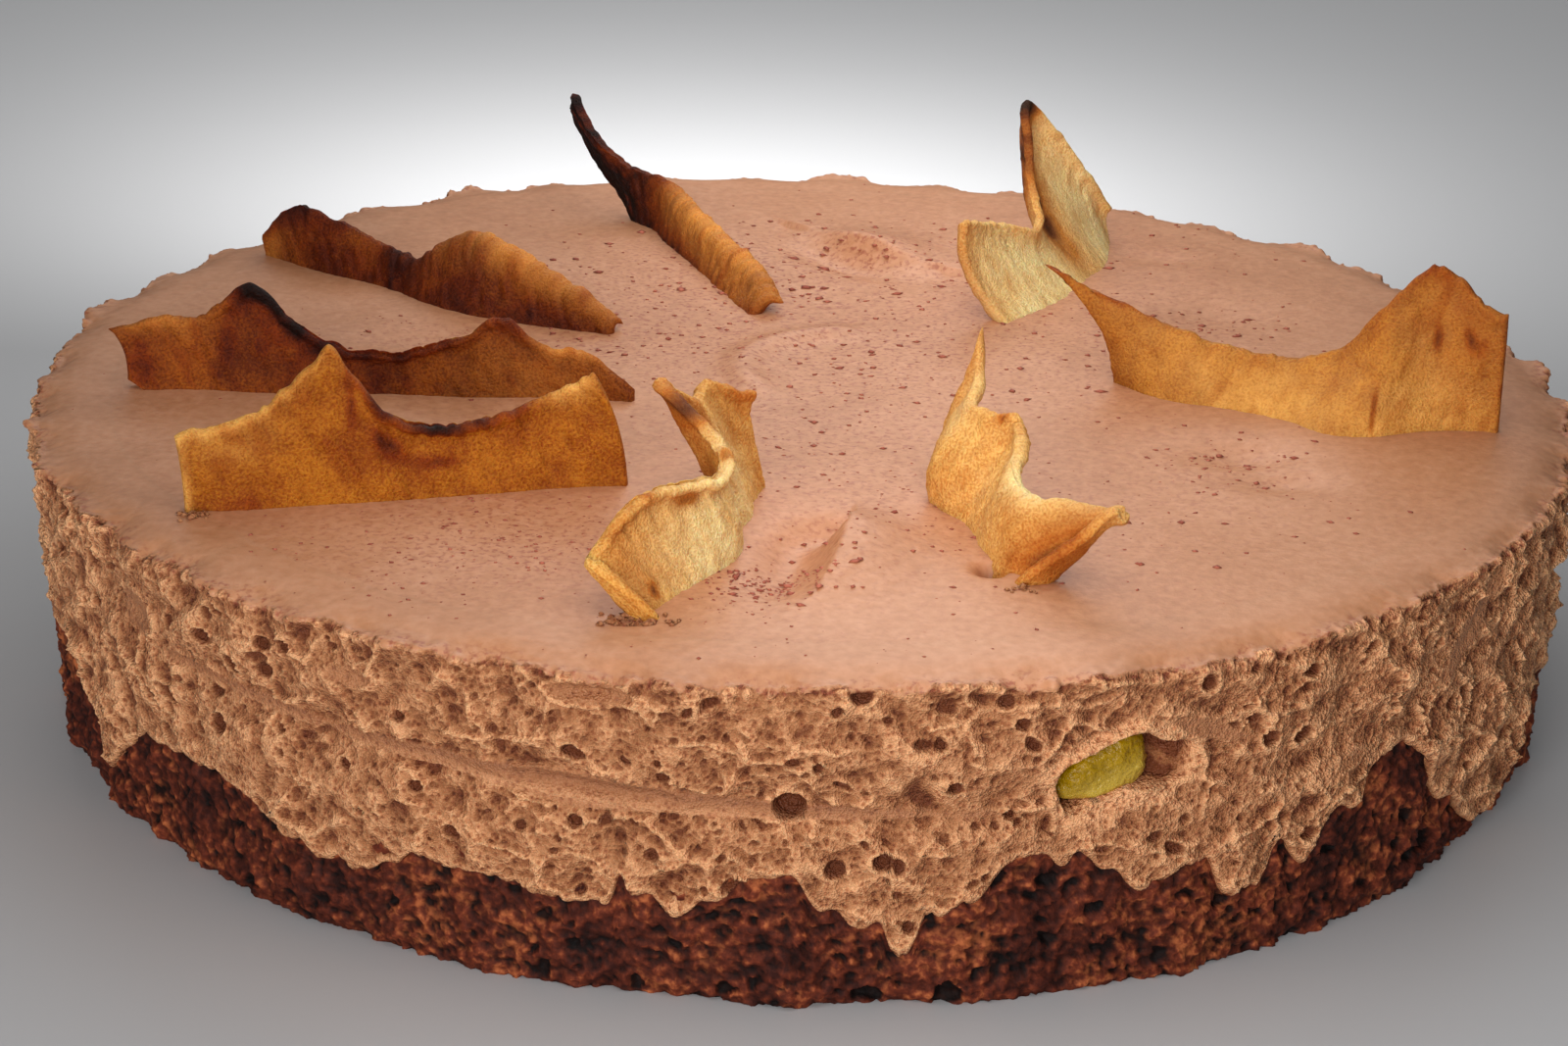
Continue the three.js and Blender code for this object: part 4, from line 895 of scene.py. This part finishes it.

# --------------------------------------------------------------------------------------
# DRIED FRUIT CRISPS
# Thin slices of fruit, oven-dried until they warped and browned, and pushed into the mousse
# on edge so that all eight point roughly at the middle. The rims curled and scorched, and
# the flesh is fibrous, mottled amber to cream.
# --------------------------------------------------------------------------------------
# A crisp's foot runs from its outer to its inner end. A station is: share of the way along,
# rise of the crest, its lean to the left, the foot's sway to the left, lift of the foot, lag
# of the crest and the bulge between, where what is left out is 0. Curl is a roll of the crest
# to the left at a share. Lip is a fold back from the outer end: its share of the sheet, and
# its height to the left. Swollen is how much thicker than usual the crest is. Brown and pale
# spots are: side (1 left, -1 right, 0 both), place along, place up, their half widths, and
# strength. Freckled is how strong the freckles of the flesh are.

# Brown spots are partly burnt flesh and partly painted shade on faces turned from the light, in cups and
# under curled rims; pale spots are partly pale flesh and partly a painted highlight on lit crest bands.
CRISP_SUNK = 3.5
FOOT_THICKNESS = 1.7
CREST_THICKNESS = 1.1
FRECKLES = 0.2
STATION_VALUES = 7
TINY = 1e-9  # keeps a normal of no length from a division by zero
CRISPS = dict(
    crisp_front_left=dict(
        slot="crisp_golden", outer=(-80, -60), inner=(-23, -46.5), swollen=0.15,
        stations=[
            (0, 10.5, 1, 0, 0, -1), (0.18, 14, 1, -0.5), (0.29, 19.5, 1, -0.5), (0.33, 21.5, 1, -0.5),
            (0.38, 17.5, 1, -0.5), (0.44, 13.2, 1, -0.5), (0.52, 11, 1.5, -0.5), (0.68, 11, 2),
            (0.82, 12.6, 2, 0.5, 0, -1), (1, 15.8, 1, 0, 0, -4.5),
        ],
        curl=[(0.38, 0), (0.5, -1.5), (0.7, -1.2), (0.82, 0)],
        brown=[
            (0, 0.43, 1, 0.05, 0.12, 0.5), (0, 0.58, 1, 0.09, 0.08, 0.75),
            (0, 0.72, 1, 0.07, 0.06, 0.4), (-1, 0.45, 0.7, 0.04, 0.1, 0.55),
            (-1, 0.55, 0.6, 0.07, 0.07, 0.5), (0, 0.37, 0.8, 0.015, 0.2, 0.5),
            (-1, 0.14, 0.3, 0.06, 0.2, 0.15), (-1, 0.75, 0.2, 0.15, 0.15, 0.15),
        ],
        pale=[
            (0, 0.1, 1, 0.18, 0.09, 0.9), (0, 0.92, 1, 0.07, 0.1, 0.9), (0, 0, 0.5, 0.015, 0.6, 0.6),
            (-1, 0.12, 0.75, 0.08, 0.15, 0.25),
        ],
    ),
    crisp_left=dict(
        slot="crisp_dark", outer=(-96, -11), inner=(-24, -11),
        stations=[
            (0, 7.5, 3, 0, 4.5, -3), (0.06, 9.8, 3, -0.5, 2, -1), (0.15, 10.5, 3, -0.5),
            (0.25, 15.8, 3, -0.5), (0.33, 10, 3, -0.5), (0.5, 5.5, 3, -0.5), (0.66, 8.6, 3),
            (0.74, 11.2, 3), (0.82, 7, 2), (0.91, 6, 2), (1, 1, 1),
        ],
        curl=[(0.1, -0.6), (0.3, -1.2), (0.6, -1.4), (0.9, 0)],
        brown=[
            (0, 0.25, 1, 0.04, 0.22, 0.9), (0, 0.34, 0.98, 0.06, 0.22, 0.7),
            (0, 0.52, 1, 0.14, 0.16, 0.5), (-1, 0.2, 0.55, 0.02, 0.25, 0.5),
            (-1, 0.4, 0.45, 0.14, 0.5, 0.4), (0, 0.75, 1, 0.04, 0.2, 0.4),
            (0, 0.02, 0.4, 0.04, 0.4, 0.4),
        ],
        pale=[
            (0, 0.08, 0.95, 0.08, 0.15, 0.45), (0, 0.87, 1, 0.06, 0.15, 0.8),
            (-1, 0.8, 0.4, 0.15, 0.4, 0.2),
        ],
    ),
    crisp_back_left=dict(
        slot="crisp_dark", outer=(-85, 53), inner=(-29, 18.3),
        stations=[
            (0, 3, 0, 0, 2, -1), (0.06, 8, 1, -1, 2), (0.22, 8, 2, -2, 1.5), (0.34, 5.8, 4, -3),
            (0.47, 5.8, 5, -5), (0.54, 10, 6, -6), (0.78, 7.5, 6, -5), (0.93, 4, 3, -2), (1, 1.5, 1),
        ],
        curl=[(0, 0.8), (0.45, 0.6), (0.58, 2.6), (1, 2.2)],
        # The brown low on its right face near the inner end is painted shade, and the pale along the crest
        # there is a painted highlight.
        brown=[
            (0, 0.1, 1, 0.1, 0.2, 0.7), (0, 0.42, 0.95, 0.08, 0.35, 0.75),
            (-1, 0.72, 0.3, 0.35, 0.35, 0.5), (-1, 0.25, 0.4, 0.2, 0.5, 0.3),
        ],
        pale=[(0, 0.02, 0.3, 0.04, 0.4, 0.5), (0, 0.75, 1, 0.25, 0.22, 0.9)],
    ),
    crisp_back=dict(
        slot="crisp_dark", outer=(-33, 94), inner=(-10, 29.5),
        stations=[
            (0, 17, -1, -6, 16.3), (0.09, 12, -1, -4, 10.7), (0.19, 8.5, 0, -1.5, 5.7), (0.28, 8, 1.5),
            (0.45, 6.8, 2.5), (0.7, 5.5, 3.5), (0.9, 4.5, 4.5), (1, 2.5, 4.5),
        ],
        curl=[(0, 0), (0.25, 0.5), (0.35, 2.2), (1, 2.4)],
        # The brown at the outer end is its burnt spike; the brown low along the middle is painted shade on
        # the face turned from the light, and the pale along the crest's inner part is a painted highlight.
        brown=[
            (0, 0, 0.5, 0.24, 2, 1.2), (0, 0.45, 0.12, 0.4, 0.34, 0.8), (0, 0.25, 1, 0.05, 0.4, 0.5),
            (0, 1, 0.4, 0.05, 0.3, 0.3),
        ],
        pale=[(0, 0.65, 1, 0.35, 0.25, 0.9), (-1, 0.7, 0.6, 0.35, 0.4, 0.5)],
    ),
    crisp_back_right=dict(
        slot="crisp_pale", outer=(50, 74), inner=(33, 27), freckled=0.1,
        stations=[
            (0, 5, -1.5, 0, 0, 0, -1), (0.1, 11.8, -6.5, 2, 0, 0, -1.5),
            (0.22, 20.2, -12.8, 4, 0, 0, -3), (0.33, 26, -17.8, 5.2, 0, 0, -4),
            (0.42, 17, -15.5, 5.6, 0, 0, -4), (0.55, 10.2, -11, 5.6, 0, 0, -3),
            (0.75, 12, -13, 4, 0, 0, -2), (1, 15.2, -11, 0, 0, 0, -3),
        ],
        curl=[(0, 0.8), (0.3, 1.6), (0.6, 0.4)],
        # The brown just past the peak, below its tip, is painted shade on the blade's inner face.
        brown=[
            (0, 0.33, 1, 0.04, 0.12, 1), (0, 0.41, 0.7, 0.07, 0.45, 0.75), (0, 1, 0.7, 0.05, 0.5, 0.25),
        ],
        pale=[(0, 0.75, 0.4, 0.35, 0.6, 0.9), (0, 0.14, 0.5, 0.2, 0.7, 0.9)],
    ),
    crisp_right=dict(
        slot="crisp_golden", outer=(98, -15), inner=(45.5, 3), freckled=0.15,
        stations=[
            (0, 17.5), (0.06, 18.5, -1, 1), (0.2, 23, -6, 5), (0.3, 17, -10, 11), (0.4, 10, -14, 14),
            (0.5, 7.5, -10, 10.5), (0.65, 7, -7, 7), (0.85, 10, -6, 6, 0, 3), (1, 15.9, 0, 0, 0, 12),
        ],
        curl=[(0, 0.5), (0.3, 0.3), (1, -0.8)],
        brown=[
            (0, 0.95, 1, 0.12, 0.1, 0.3), (0, 0.08, 0.7, 0.1, 0.4, 0.22),
            (0, 0.17, 0.62, 0.012, 0.07, 0.6), (0, 0.09, 0.72, 0.016, 0.05, 0.5),
            (0, 0.2, 1, 0.06, 0.1, 0.35), (0, 0, 0.5, 0.012, 0.5, 0.3), (0, 0.3, 0.3, 0.006, 0.12, 0.7),
        ],
        pale=[
            (0, 0.55, 0.45, 0.25, 0.5, 0.6), (0, 0.2, 0.2, 0.15, 0.2, 0.45),
            (0, 0.8, 0.6, 0.2, 0.5, 0.3), (0, 0.3, 0.12, 0.03, 0.15, 0.6),
            (0, 0.1, 0.5, 0.16, 0.7, 0.35),
        ],
    ),
    crisp_front=dict(
        slot="crisp_pale", outer=(-15.8, -91.2), inner=(-4.9, -46),
        swollen=0.25, freckled=0.1, lip=(0.08, -3),
        stations=[
            (0, 6.7, 10.5, 0, 0, 0, 1), (0.12, 13, 8, 0, 0, 0, 1), (0.28, 13.2, 5, -1),
            (0.42, 12.4, 3, -2, 0, 0, -1), (0.52, 13.8, 3, -2, 0, 0, -1), (0.58, 16.2, 6, -2, 0, 0, -1),
            (0.64, 20, 12.5, -2, 0, 0, -1), (0.72, 16.5, 9, -2, 0, 0, -1), (0.86, 17, 8, -1),
            (1, 14, 3),
        ],
        curl=[(0, 0), (0.12, -1.6), (0.4, -2.2), (0.6, -0.8), (0.75, 0.4), (1, -1.6)],
        # The brown high on its right face at 0.3 along is a painted shadow under the curled rim.
        brown=[
            (0, 0.63, 0.9, 0.05, 0.3, 0.36), (0, 0.6, 0.95, 0.025, 0.15, 0.25),
            (-1, 0.3, 0.85, 0.04, 0.08, 0.6), (-1, 0.09, 0.3, 0.015, 0.05, 0.5),
            (-1, 0.08, 0.6, 0.12, 0.5, 0.16), (0, 0.97, 0.95, 0.1, 0.12, 0.3),
            (0, 0.16, 1, 0.02, 0.04, 0.5), (0, 0.51, 1, 0.02, 0.06, 0.4),
            (0, 0.72, 0.85, 0.02, 0.2, 0.35),
        ],
        pale=[
            (-1, 0.36, 0.4, 0.22, 0.45, 1), (0, 0.42, 1, 0.2, 0.07, 0.6), (-1, 0.7, 0.4, 0.2, 0.4, 0.6),
        ],
    ),
    crisp_front_right=dict(
        slot="crisp_pale", outer=(26.2, -78), inner=(18, -45),
        swollen=0.3, freckled=0.1, lip=(0.1, 4.2),
        stations=[
            (0, 10, -13.5, 0, 0, -2, -1), (0.09, 10, -7.6), (0.16, 9.6, -4.2), (0.26, 10.2, -2.6),
            (0.38, 11.4, -3), (0.5, 12.6, -6.6), (0.64, 14.5, -8.8, 0, 0, 0, 1),
            (0.78, 14, -5.5, 0, 0, 0, 3), (0.88, 13.8, -4, 0, 0, 1, 3.5), (0.95, 16, -6.5, 0, 0, 4, 3),
            (1, 20, -8, 0, 0, 8, 2),
        ],
        curl=[(0, -1.2), (0.12, -2.6), (0.4, -1.4), (0.6, 1.2), (0.9, 0)],
        # The brown on its left face by the lip is painted shade inside the cup, and the pale along its crest
        # is a painted highlight.
        brown=[
            (1, 0.1, 0.45, 0.12, 0.4, 0.26), (0, 0.7, 0.96, 0.02, 0.05, 0.4),
            (0, 1, 0.9, 0.06, 0.3, 0.2), (1, 0.42, 0.8, 0.06, 0.12, 0.25), (0, 0, 0.5, 0.07, 2, 0.22),
        ],
        pale=[(0, 0.2, 1, 0.25, 0.14, 0.85), (1, 0.5, 0.5, 0.3, 0.5, 0.2), (0, 0.9, 1, 0.08, 0.3, 0.4)],
    ),
)


def along_stations(stations, u):
    """Smooth curves through the stations' values at u, one for each value: cubic pieces whose
    slope at a station is that of its neighbours, weighed by their distances."""
    full = [station + (0,) * (STATION_VALUES - len(station)) for station in stations]
    table = np.array(full, float)
    place, step = table[:, 0], np.diff(table[:, 0])
    i = np.clip(np.searchsorted(place, u, side="right") - 1, 0, len(step) - 1)
    span = step[i]
    t = np.clip((u - place[i]) / span, 0, 1)
    ease = 3 * t**2 - 2 * t**3
    for value in table.T[1:]:
        rate = np.diff(value) / step
        between = (rate[:-1] * step[1:] + rate[1:] * step[:-1]) / (step[:-1] + step[1:])
        slope = np.concatenate([rate[:1], between, rate[-1:]])
        bends = (t**3 - 2 * t**2 + t) * slope[i] + (t**3 - t**2) * slope[i + 1]
        yield (1 - ease) * value[i] + ease * value[i + 1] + span * bends


def spotted(spots, side, u, v):
    """The sum of the spots on one side: each a bell of the distances along and up."""
    total = np.zeros(np.broadcast(u, v).shape)
    for on, along, up, half_along, half_up, strength in spots:
        if on in (0, side):
            total += strength * hump(np.hypot((u - along) / half_along, (v - up) / half_up), 1)
    return total


# The three tones of dried flesh on the 0 to 255 scale of a screen: flesh, amber and cream.
CRISP_TONES = dict(
    crisp_golden=((186, 114, 26), (152, 78, 10), (238, 178, 92)),
    crisp_dark=((160, 84, 18), (112, 50, 10), (226, 150, 66)),
    crisp_pale=((240, 184, 100), (220, 150, 64), (255, 230, 164)),
)


def make_crisp_material(name):
    """Dried flesh: mottled between two tones with fibres up the slice, cream where it stayed
    pale and as a painted highlight on lit crest bands, and through amber to nearly black where
    it burnt and as painted shade on faces turned from the light, in cups and under curled rims."""
    material, tree, shader = new_material(name, {
        "Roughness": 0.6, "Specular IOR Level": 0.18, "Subsurface Weight": 0.3,
        "Subsurface Radius": (0.0022, 0.0010, 0.0004), "Subsurface Scale": 1.0,
    })
    flesh, amber, cream = CRISP_TONES[name]
    tone = add_tone(tree, patch_scale=150, grain_scale=2800)
    fibre = mark_value(tree, "fibre")
    base = ramp(tree, tone.outputs["Tone"], [(0.15, amber), (0.85, flesh)])
    streak = ramp(tree, fibre, [(0.2, (216, 196, 164)), (0.6, (255, 255, 255))])
    base = blend_colours(tree, "MULTIPLY", 0.5, base, streak)
    # The pale mark is pale flesh and also a painted highlight on lit crest bands.
    base = blend_colours(tree, "MIX", mark_value(tree, "pale"), base, colour(*cream))
    grain = ramp(tree, tone.outputs["Grain"], [(0.34, (226, 196, 160)), (0.56, (255, 255, 255))])
    base = blend_colours(tree, "MULTIPLY", 0.6, base, grain)
    # The brown mark is burnt flesh and also painted shade on faces turned from the light, in cups and under
    # curled rims.
    scorch_and_shade = ramp(tree, mark_value(tree, "brown"), [
        (0.0, (255, 255, 255)), (0.35, (206, 162, 112)), (0.7, (124, 82, 58)), (1.0, (52, 38, 32)),
    ])
    tree.links.new(blend_colours(tree, "MULTIPLY", 1.0, base, scorch_and_shade), shader.inputs["Base Color"])
    height = add_node(tree, "ShaderNodeMath", {0: tone.outputs["Grain"], 1: fibre}, operation="ADD")
    add_bump(tree, shader, height.outputs[0], strength=0.9, distance=0.0005)
    return material


CRISP_MATERIALS = {name: make_crisp_material(name) for name in CRISP_TONES}


def unit_normals(sheet):
    """Normals of a grid of points: the cross product of its two gradients, made length 1."""
    normal = np.cross(np.gradient(sheet, axis=0), np.gradient(sheet, axis=1))
    return normal / (np.linalg.norm(normal, axis=-1, keepdims=True) + TINY)


def both_faces(first, second):
    """Rings round the slice: one face's values from foot to crest, then the other's back."""
    return np.concatenate([first, second[:, ::-1]], 1)


def crisp_sheet(crisp, u, v, along, ahead, salt):
    """The slice's middle surface and its rise: u runs along its foot and v from foot to
    crest, with the stations' lean, sway, lift, lag and bulge, and a ragged crest that rolls
    over by the curl."""
    rise, lean, sway, lift, lag, belly = along_stations(crisp["stations"], u)
    curls = np.array(crisp["curl"])
    curl = np.interp(u, curls[:, 0], curls[:, 1])
    rise = rise + 0.65 * noise(along / 2.1, salt, 0.5) + 0.4 * noise(along / 0.7, salt, 4.5)
    roll = smoothstep(0.74, 1, v)
    forward = along + lag * v**2.5
    aside = sway + lean * v + belly * np.sin(np.pi * v) + curl * roll**1.5
    z = CAKE_HEIGHT + (lift - CRISP_SUNK) * (1 - v) + rise * v + np.abs(curl) * (0.5 * roll - 0.85 * roll**3)
    x = crisp["outer"][0] + forward * ahead[0] - aside * ahead[1]
    y = crisp["outer"][1] + forward * ahead[1] + aside * ahead[0]
    return np.stack([x, y, z], -1), rise


def fold_lip(sheet, lip, ends, v, ahead):
    """The sheet with its outer end folded back: the lip's share of it moves along the normal
    beyond, by the lip's height where it reaches furthest, and a quarter of that inward."""
    share, height = lip
    beyond = unit_normals(sheet)[np.argmax(ends[:, 0] > share) + 1]
    reach = np.clip(1 - ends / share, 0, 1) * (0.05 + 0.95 * np.sin(np.pi * v) ** 0.6)
    inward = np.array([*ahead, 0]) * (0.25 * abs(height) * reach**2)[..., None]
    return sheet - beyond * (height * reach)[..., None] + inward


def half_thickness(crisp, v, along, up, from_end, from_crest, salt):
    """Half the slice's thickness: less towards the crest, swollen just inside the borders,
    rounded off at them, and uneven by two noises."""
    half = (FOOT_THICKNESS + (CREST_THICKNESS - FOOT_THICKNESS) * v) / 2
    swollen = 0.15 + crisp.get("swollen", 0) * smoothstep(0.5, 4, from_end)
    half = half + swollen * hump(from_crest - 0.6, 0.9) + 0.15 * hump(from_end - 0.4, 0.7)
    rounding = np.sqrt(np.clip(from_end / 0.35, 0.08, 1)) * np.sqrt(np.clip(from_crest / 0.35, 0.08, 1))
    uneven = 0.12 * noise(along / 1.1, up / 1.1, salt + 3.5)
    uneven += 0.1 * noise(along / 0.5, up / 0.5, salt + 6.5)
    return half * rounding * (1 + uneven)


def crisp_marks(crisp, u, v, along, up, salt):
    """Fibres that slant up the slice, from -1 to 1, and the marks of both faces: the fibres,
    the brown with its freckles, and the pale, each mottled by two noises."""
    slant, across = along + 0.5 * up, up - 0.5 * along
    fibre = noise(slant / 1.1 + 0.5 * noise(slant / 4, up / 4, salt), across / 3.2, salt + 0.5)
    freckles = smoothstep(0.15, 0.9, noise(slant / 2.2, across / 3.6, salt + 5.5) + 0.4 * fibre)
    freckles = crisp.get("freckled", FRECKLES) * freckles
    mottle = noise(along / 3, up / 3, salt + 1.5) + 0.6 * noise(along / 1.1, up / 1.1, salt + 2.5)
    marks = dict(fibre=both_faces(0.5 + 0.5 * fibre, 0.5 + 0.5 * fibre))
    for mark, spread, base in (("brown", 0.45, freckles), ("pale", 0.3, 0)):
        right, left = (spotted(crisp[mark], side, u, v) * (1 + spread * mottle) + base for side in (-1, 1))
        marks[mark] = np.clip(both_faces(right, left), 0, 1)
    return fibre, marks


def make_crisp(name, crisp, salt):
    """A closed slice: the sheet, with its end's lip and fine wrinkles along its normal, makes
    two faces, set apart by the thickness, and a strip of quads closes each end."""
    ends = np.linspace(0, 1, 176)[:, None]
    v = (1 - (1 - np.linspace(0, 1, 52)) ** 1.25)[None, :]
    foot = np.subtract(crisp["inner"], crisp["outer"])
    length = np.hypot(*foot)
    ahead = foot / length
    lip = crisp.get("lip", (0, 0))
    u = np.clip((ends - lip[0]) / (1 - lip[0]), 0, 1)
    along = u * length
    sheet, rise = crisp_sheet(crisp, u, v, along, ahead, salt)
    if "lip" in crisp:
        sheet = fold_lip(sheet, lip, ends, v, ahead)
    normal = unit_normals(sheet)
    up = v * (rise + CRISP_SUNK)
    fibre, marks = crisp_marks(crisp, u, v, along, up, salt)
    wrinkle = 0.26 * noise(along / 6, up / 6, salt + 7.5)
    wrinkle += 0.1 * fibre + 0.1 * noise(along / 0.7, up / 0.7, salt)
    sheet = sheet + normal * (wrinkle * smoothstep(0, 0.3, v))[..., None]
    from_end = np.minimum(ends, 1 - ends) * length
    half = half_thickness(crisp, v, along, up, from_end, (1 - v) * rise, salt)
    apart = normal * half[..., None]
    points = both_faces(sheet + apart, sheet - apart)
    columns, ring = points.shape[:2]
    middle = np.arange(ring // 2 - 1)
    strip = np.stack([middle, middle + 1, ring - 2 - middle, ring - 1 - middle], -1)
    caps = np.concatenate([strip, (columns - 1) * ring + strip[:, ::-1]])
    quads = np.concatenate([ring_quads(columns, ring, closed=True), caps])
    slot = crisp["slot"]
    piece = put_mesh("dried_" + name, points, quads, [], CRISP_MATERIALS[slot], marks)
    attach(piece, "root")
    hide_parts(name)


for salt, (name, crisp) in enumerate(CRISPS.items()):
    make_crisp(name, crisp, 3.5 + 11 * salt)

# --------------------------------------------------------------------------------------
# COCOA FLECKS AND TORN CRUMBS
# Cocoa was dusted over the set top and lies in flecks, thickest in the folds and in front of
# the crisps. Where crisps were pushed in, the skin of the mousse broke into small crumbs.
# --------------------------------------------------------------------------------------
# Where crumbs lie: middle x and y, spread, how many.

CRUMB_PLACES = [(-20.6, -91.8, 2.0, 34), (-78.6, -61.8, 1.3, 12), (27.5, -80.5, 1.4, 10), (-15, -93, 1.2, 6)]
FLECK_REACH = 106


def scatter_flakes(name, x, y, size, material, marks, flat, sink, seed):
    """Small lumps on the top, each a squashed eight-sided stone with uneven corners, turned
    and sized at random: corner directions times size, flattened, plus the place, and sunk by
    a share of its height."""
    rng = np.random.default_rng(seed)
    stone = np.array([[1, 0, 0], [0, 1, 0], [-1, 0, 0], [0, -1, 0], [0, 0, 1], [0, 0, -1]])
    sides = np.array([[0, 1, 4], [1, 2, 4], [2, 3, 4], [3, 0, 4], [1, 0, 5], [2, 1, 5], [3, 2, 5], [0, 3, 5]])
    count = len(x)
    turn = rng.uniform(0, 2 * np.pi, count)
    cosine, sine = np.cos(turn)[:, None], np.sin(turn)[:, None]
    wide = size / 2 * rng.uniform(0.7, 1.5, count)
    local = stone * (1 + rng.uniform(-0.35, 0.35, (count, 6, 1)))
    local = local * np.stack([wide, size / 2, size / 2 * flat], -1)[:, None]
    px = x[:, None] + local[..., 0] * cosine - local[..., 1] * sine
    py = y[:, None] + local[..., 0] * sine + local[..., 1] * cosine
    pz = top_height(x, y)[:, None] + local[..., 2] + (0.5 - sink) * (size * flat)[:, None]
    points = np.stack([px, py, pz], -1).reshape(-1, 3)
    triangles = (sides[None] + 6 * np.arange(count)[:, None, None]).reshape(-1, 3)
    marks = {mark: np.full(len(points), value) for mark, value in marks.items()}
    return put_mesh(name, points, [], triangles, material, marks)


def make_flecks():
    """Cocoa flecks: each cluster's are spread by the bell curve and kept off the rim, and a
    fleck's size falls off by a power, so that most are fine."""
    rng = np.random.default_rng(12)
    parts = []
    for x, y, spread_x, spread_y, count, size in DUSTED:
        place = rng.normal((x, y), (spread_x, spread_y), (count, 2))
        parts.append(np.column_stack([place, size * (0.45 + 1.3 * rng.random(count) ** 3)]))
    x, y, size = np.concatenate(parts).T
    kept = np.hypot(x, y) < FLECK_REACH
    x, y, size = x[kept], y[kept], size[kept]
    material, tree, shader = new_material("cocoa_flecks", {"Roughness": 0.8})
    tone = add_tone(tree, patch_scale=120, grain_scale=1500)
    tint = ramp(tree, tone.outputs["Tone"], [(0.1, (138, 62, 44)), (0.9, (186, 104, 80))])
    tree.links.new(tint, shader.inputs["Base Color"])
    flecks = scatter_flakes("cocoa_flecks", x, y, size, material, {}, flat=0.3, sink=0.3, seed=13)
    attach(flecks, "root")


def make_crumbs():
    """Crumbs of broken mousse skin, heaped by the bell curve at the feet of three crisps."""
    rng = np.random.default_rng(21)
    parts = []
    for x, y, spread, count in CRUMB_PLACES:
        place = rng.normal((x, y), (spread, spread * 0.5), (count, 2))
        parts.append(np.column_stack([place, 0.6 + 1.1 * rng.random(count) ** 2]))
    x, y, size = np.concatenate(parts).T
    marks = dict(skin=0, ridge=0.4, pit_shade=0, dust=0.5)
    crumbs = scatter_flakes("mousse_crumbs", x, y, size, mousse_material, marks, flat=0.7, sink=0.25, seed=22)
    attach(crumbs, "root")


make_flecks()
make_crumbs()

# --------------------------------------------------------------------------------------
# FLOOR, LIGHT AND CAMERA
# A plain pale table, the photograph's viewpoint and four soft lights: one behind, one in
# front, a low strip over the cake from front to back, and a low one that lights the table
# behind it.
# --------------------------------------------------------------------------------------
# The world, the lights and the camera are in metres.

FLOOR_HALF = 2
VIEWPOINT = (0, -0.52011, 0.22383)
LENS, SENSOR = 87.2, 36.0


def make_floor():
    """A flat square table top under the cake."""
    corners = [(x * FLOOR_HALF, y * FLOOR_HALF, 0) for x, y in ((-1, -1), (1, -1), (1, 1), (-1, 1))]
    mesh = bpy.data.meshes.new("floor")
    mesh.from_pydata(corners, [], [(0, 1, 2, 3)])
    material, _, _ = new_material("pale_table", {"Base Color": colour(196, 197, 199), "Roughness": 0.6})
    mesh.materials.append(material)
    floor = bpy.data.objects.new("floor", mesh)
    bpy.context.collection.objects.link(floor)


def add_light(name, place, aim, wide, long, power):
    """A rectangular area light at a place, turned so that it faces aim. Where it faces
    straight down, wide runs along x and long along y."""
    light = bpy.data.lights.new(name, "AREA")
    light.shape = "RECTANGLE"
    light.size, light.size_y, light.energy = wide, long, power
    light.color = (1.0, 0.985, 0.97)
    lamp = bpy.data.objects.new(name, light)
    lamp.visible_camera = False
    lamp.location = place
    lamp.rotation_euler = (Vector(aim) - Vector(place)).to_track_quat("-Z", "Y").to_euler()
    bpy.context.collection.objects.link(lamp)


make_floor()
add_light("soft_back", (0, 0.72, 0.6), (0, 0, 0.04), wide=0.8, long=0.4, power=1.4)
add_light("soft_front", (-0.2, -0.98, 0.26), (0, -0.05, 0.03), wide=0.5, long=0.5, power=7.7)
add_light("near_strip", (0.014, 0.02, 0.14), (0.014, 0.02, 0), wide=0.1, long=0.42, power=0.26)
add_light("floor_pool", (-0.02, 0.2, 0.12), (-0.02, 0.42, 0), wide=0.14, long=0.1, power=0.44)
world = bpy.data.worlds.new("studio")
world.use_nodes = True
background = world.node_tree.nodes["Background"]
background.inputs["Color"].default_value = (0.96, 0.98, 1.0, 1.0)
background.inputs["Strength"].default_value = 0.14
bpy.context.scene.world = world
bpy.context.scene.view_settings.view_transform = "Standard"

camera = bpy.data.cameras.new("photo_view")
camera.lens, camera.sensor_width, camera.sensor_fit = LENS, SENSOR, "HORIZONTAL"
camera.clip_start = 0.01
viewer = bpy.data.objects.new("photo_view", camera)
right, up, ahead = (0.9996, 0.0134, 0.0228), (-0.0261, 0.3608, 0.9323), (-0.0043, 0.9325, -0.361)
turned = Matrix((right, up, -Vector(ahead))).transposed().to_quaternion().to_matrix().to_4x4()
viewer.matrix_world = Matrix.Translation(VIEWPOINT) @ turned
bpy.context.collection.objects.link(viewer)
bpy.context.scene.camera = viewer
